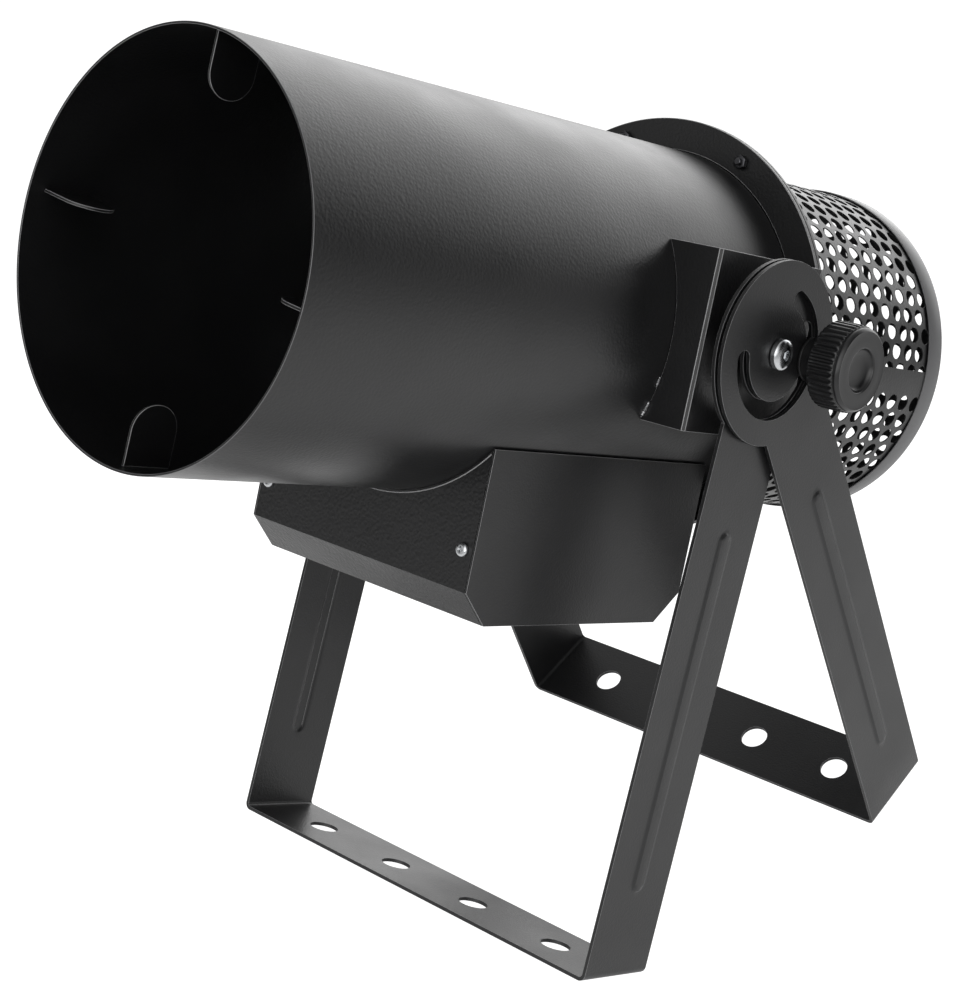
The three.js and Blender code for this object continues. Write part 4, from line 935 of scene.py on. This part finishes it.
# The pieces of the right side: shapes, finish, slot, and the node that each stands for
right_side = (
    ("bracket_sheet", [bracket_sheet()], powder_coat, "powder_coat", "pivot_bracket", pressed),
    ("bracket_weld", welds, weld_metal, "powder_coat", None, {}),
    ("socket_bolt", [socket_bolt()], bright_zinc, "zinc", "pivot_bolt", {}),
    ("bolt_nut", pivot_and_stud_nut(0), bright_zinc, "zinc", "pivot_nut", {}),
    ("inner_spacer", [collar(13, spacer_span, 0)], knob_plastic, "moulded_black", "pivot_spacer", {}),
    ("nylon_washer", [collar(15, (131.1, 132.3), 0)], nylon_white, "nylon", "disc_washer", {}),
    ("stud_spacer", [collar(8, spacer_span, stud_away)], knob_plastic, "moulded_black",
     "clamp_spacer", {}),
    ("stud_nut", pivot_and_stud_nut(stud_away), bright_zinc, "zinc", "clamp_nut", {}),
    ("knob_washer", [collar(12, (134.9, 136.4), stud_away)], knob_plastic, "moulded_black",
     "clamp_washer", {}),
    ("threaded_stud", [clamp_stud()], bright_zinc, "zinc", "clamp_stud", {}),
    ("ribbed_knob", [clamp_knob()], knob_plastic, "moulded_black", "clamp_knob", {}),
)
bodies = frame["record"]["behaviour"]["bodies"]
node_bodies = {node: body for body, nodes in bodies.items() for node in nodes}
for name, right, finish, slot, node, settings in right_side:
    for side, shapes in (("right", right), ("left", mirrored(right))):
        nodes = [node + "_" + side] if node else []
        body = node_bodies[nodes[0]] if nodes else "barrel"
        piece(name + "_" + side, shapes, on_barrel, body, finish, slot, nodes, **settings)

# Control box
for side in ("right", "left"):
    softened("box_cheek_" + side, "box_side_" + side, "barrel", yoke_coat, 0.35, worn_edge_painted_highlight)
softened("box_shell", "box_tray", "barrel", box_coat, 0.35, worn_edge_painted_highlight)
# The cut edge of the box's front follows the barrel at a distance of 1.5 mm. It is drawn as a thin bar in the
# pale edge finish: a painted highlight along the edge, with some wear.
cut, cut_radius, box_front = np.radians(np.linspace(-138.5, -41.5, 61)), 101.5, -133.1
cut_line = [cut_radius * np.cos(cut), np.full(len(cut), box_front), cut_radius * np.sin(cut)]
piece(
    "box_cut_edge_highlight", swept(np.stack(cut_line, 1), 0.32, 8),
    on_barrel, "barrel", worn_edge_painted_highlight, "powder_coat",
)
softened("inlet_body", "power_inlet", "barrel", inlet_plastic, 0.35)
softened("switch_frame", "rocker_frame", "barrel", inlet_plastic, 0.3)
softened("switch_paddle", "rocker_switch", "rocker", inlet_plastic, 0.4)
frame["nodes"]["control_board"].data.materials.clear()
frame["nodes"]["control_board"].data.materials.append(circuit)

for side, x in (("right", 70.4), ("left", -70.4)):
    for end, y, facing in (("front", -133.3, -1), ("rear", 40.3, 1)):
        piece(
            "box_pan_screw_" + end + "_" + side,
            [pan_head(1.5, 3.6, 2.0, 5.0, facing, (x, y, -115.5))],
            on_barrel, "barrel", bright_zinc, "zinc", ["box_screw_" + end + "_" + side], sharp=30,
        )


def contact(x, z, width, height):
    """A flat inlet pin with a tapered end."""
    y = np.array([26.0, 39.8, 41.2])[:, None]
    taper = np.array([1.0, 1.0, 0.55])[:, None]
    corner = eased(
        [(-width / 2, -height / 2), (width / 2, -height / 2), (width / 2, height / 2),
         (-width / 2, height / 2)], 0.3, 3,
    )
    points, faces = grid(x + taper * corner[:, 0], y, z + taper * corner[:, 1], False, True)
    return [(points, faces)] + lids(points, len(corner))


piece(
    "inlet_contacts",
    joined(contact(-7, -116.6, 2, 4), contact(7, -116.6, 2, 4), contact(0, -121.0, 2, 4)),
    on_barrel, "barrel", brass, "zinc", sharp=30,
)
button_middle = (46, 0, -111)
bezel = [
    (0, 26), (7.3, 26), (7.6, 26.3), (7.6, 40.3), (9.2, 40.3), (9.5, 40.6), (9.5, 41.1), (9.2, 41.7),
    (8.6, 42.2), (7.9, 42.3), (6.3, 42.3), (6.0, 42.1), (5.9, 41.7), (5.9, 33.3), (0, 33.3),
]
piece(
    "button_ring", [turned(bezel, 64, "y", button_middle)], on_barrel, "barrel", bright_zinc, "zinc",
    ["button_bezel"], sharp=30,
)
cap = [
    (0, 35.6), (5.6, 35.6), (5.6, 44.2), (5.5, 44.7), (5.2, 45.0), (4.6, 45.2), (3, 45.05),
    (1.5, 44.95), (0, 44.9),
]
piece(
    "red_button", [turned(cap, 48, "y", button_middle)], on_barrel, "push_button", button_red,
    "push_button_red", ["fire_button"], sharp=30,
)

# Floor, light and camera
far = 40  # metres from the middle to the floor's edges
floor_mesh = bpy.data.meshes.new("floor")
floor_mesh.from_pydata([(-far, -far, 0), (far, -far, 0), (far, far, 0), (-far, far, 0)], [], [(0, 1, 2, 3)])
floor = bpy.data.objects.new("floor", floor_mesh)
bpy.context.scene.collection.objects.link(floor)
# Matt white paper, nearly even in tone, with a painted pool of light: its colour and its own glow are brightest
# round the blower and fade away from it, in place of a lamp's pool
paper, tree = fresh("matt white studio paper")
spot = add(tree, "ShaderNodeTexCoord").outputs["Object"]
paper_cloud = add(tree, "ShaderNodeTexNoise", {"Scale": 3.0, "Detail": 2.0}, {"Vector": spot})
distance = add(tree, "ShaderNodeVectorMath", {"operation": "LENGTH"}, {0: spot})
# Painted light: the paper's colour and glow fall from full round the blower to 0.45 two metres away.
painted_light_pool = add(
    tree, "ShaderNodeMapRange",
    {"interpolation_type": "SMOOTHSTEP", "From Min": 0.4, "From Max": 2.0, "To Min": 1.0, "To Max": 0.45},
    {"Value": distance.outputs["Value"]},
)
even = add(
    tree, "ShaderNodeMapRange", {"To Min": 0.86, "To Max": 0.92}, {"Value": paper_cloud.outputs["Fac"]}
)
pale_and_painted_pool = add(
    tree, "ShaderNodeMath", {"operation": "MULTIPLY"},
    {0: even.outputs["Result"], 1: painted_light_pool.outputs["Result"]},
)
paper_colour = add(
    tree, "ShaderNodeCombineColor", links={channel: pale_and_painted_pool.outputs["Value"] for channel in range(3)}
)
# The paper glows with a painted light of its own, as strong as the pool, and that glow lights the blower from
# below.
paper_shader = add(
    tree, "ShaderNodeBsdfPrincipled",
    {"Roughness": 0.9, "Specular IOR Level": 0.2, "Emission Color": (0.37, 0.37, 0.37, 1)},
    {"Base Color": paper_colour.outputs["Color"], "Emission Strength": painted_light_pool.outputs["Result"]},
)
# To the camera the paper is mostly overexposed, so that only a trace of its shadows is left.
# The blower itself is lit by the paper's own light, which is dimmer.
blown = add(tree, "ShaderNodeEmission", {"Strength": 1.42})
exposed = add(
    tree, "ShaderNodeMath", {"operation": "MULTIPLY", 1: 0.65},
    {0: add(tree, "ShaderNodeLightPath").outputs["Is Camera Ray"]},
)
seen = add(
    tree, "ShaderNodeMixShader",
    links={0: exposed.outputs["Value"], 1: paper_shader.outputs["BSDF"], 2: blown.outputs["Emission"]},
)
add(tree, "ShaderNodeOutputMaterial", links={"Surface": seen.outputs["Shader"]})
floor_mesh.materials.append(paper)


# The light of the white room by direction. Each glow is full at its middle, which X, Y and Z
# give, and fades to nothing where the cosine of the angle from it is the last number; the
# number before that is its strength.
glows = (
    (-0.16, 0.98, 0.14, 2.3, 0.62),  # the lit wall behind the blower
    (-0.7, 0.7, 0.14, 0.45, 0.5),  # the same wall, further left
    (-0.53, 0.41, 0.74, 0.15, 0.5),  # and where it meets the ceiling
    (0.7, -0.7, 0.14, 1.9, 0.5),  # low fill from beside the camera
    (0.0, -0.99, 0.14, 0.95, 0.5),  # what that fill gives in front of the muzzle
    (0.0, 0.0, 1.0, 0.5, 0.5),  # white ceiling
)
world = bpy.data.worlds.new("white studio room")
bpy.context.scene.world = world
world.use_nodes = True
sky = world.node_tree
sky.nodes.clear()
look = add(sky, "ShaderNodeTexCoord").outputs["Generated"]
# The camera sees the room as even white, as a photograph's blown-out backdrop, and all other
# rays see the glows alone: the first term is 1 for the camera and 0 for them.
strength = add(sky, "ShaderNodeLightPath").outputs["Is Camera Ray"]
for x, y, z, power, reach in glows:
    near = add(sky, "ShaderNodeVectorMath", {"operation": "DOT_PRODUCT", 1: (x, y, z)}, {0: look})
    fade = add(
        sky, "ShaderNodeMapRange",
        {"interpolation_type": "SMOOTHSTEP", "From Min": reach, "From Max": 1.0,
         "To Min": 0.0, "To Max": power},
        {"Value": near.outputs["Value"]},
    )
    strength = add(
        sky, "ShaderNodeMath", {"operation": "ADD"}, {0: strength, 1: fade.outputs["Result"]}
    ).outputs["Value"]
room = add(sky, "ShaderNodeBackground", {"Color": (1, 1, 1, 1)}, {"Strength": strength})
add(sky, "ShaderNodeOutputWorld", links={"Surface": room.outputs["Background"]})
bpy.context.scene.view_settings.view_transform = "Standard"
bpy.context.scene.view_settings.look = "None"

# The camera as solved from the photograph's outlines
camera_data = bpy.data.cameras.new("camera")
camera_data.sensor_fit, camera_data.sensor_width, camera_data.lens = "HORIZONTAL", 36, 76.9
camera_data.shift_x, camera_data.shift_y = -0.0276, -0.0946
camera = bpy.data.objects.new("camera", camera_data)
bpy.context.scene.collection.objects.link(camera)
right = np.array([0.7321, 0.6811, -0.0073])
down = np.array([0.2121, -0.2381, -0.9478])
right, down = right / np.linalg.norm(right), down / np.linalg.norm(down)
axes = np.stack([right, -down, np.cross(right, -down)], 1)
camera.matrix_world = Matrix.Translation((0.7089, -0.7813, 0.6210)) @ Matrix(axes.tolist()).to_4x4()
bpy.context.scene.camera = camera
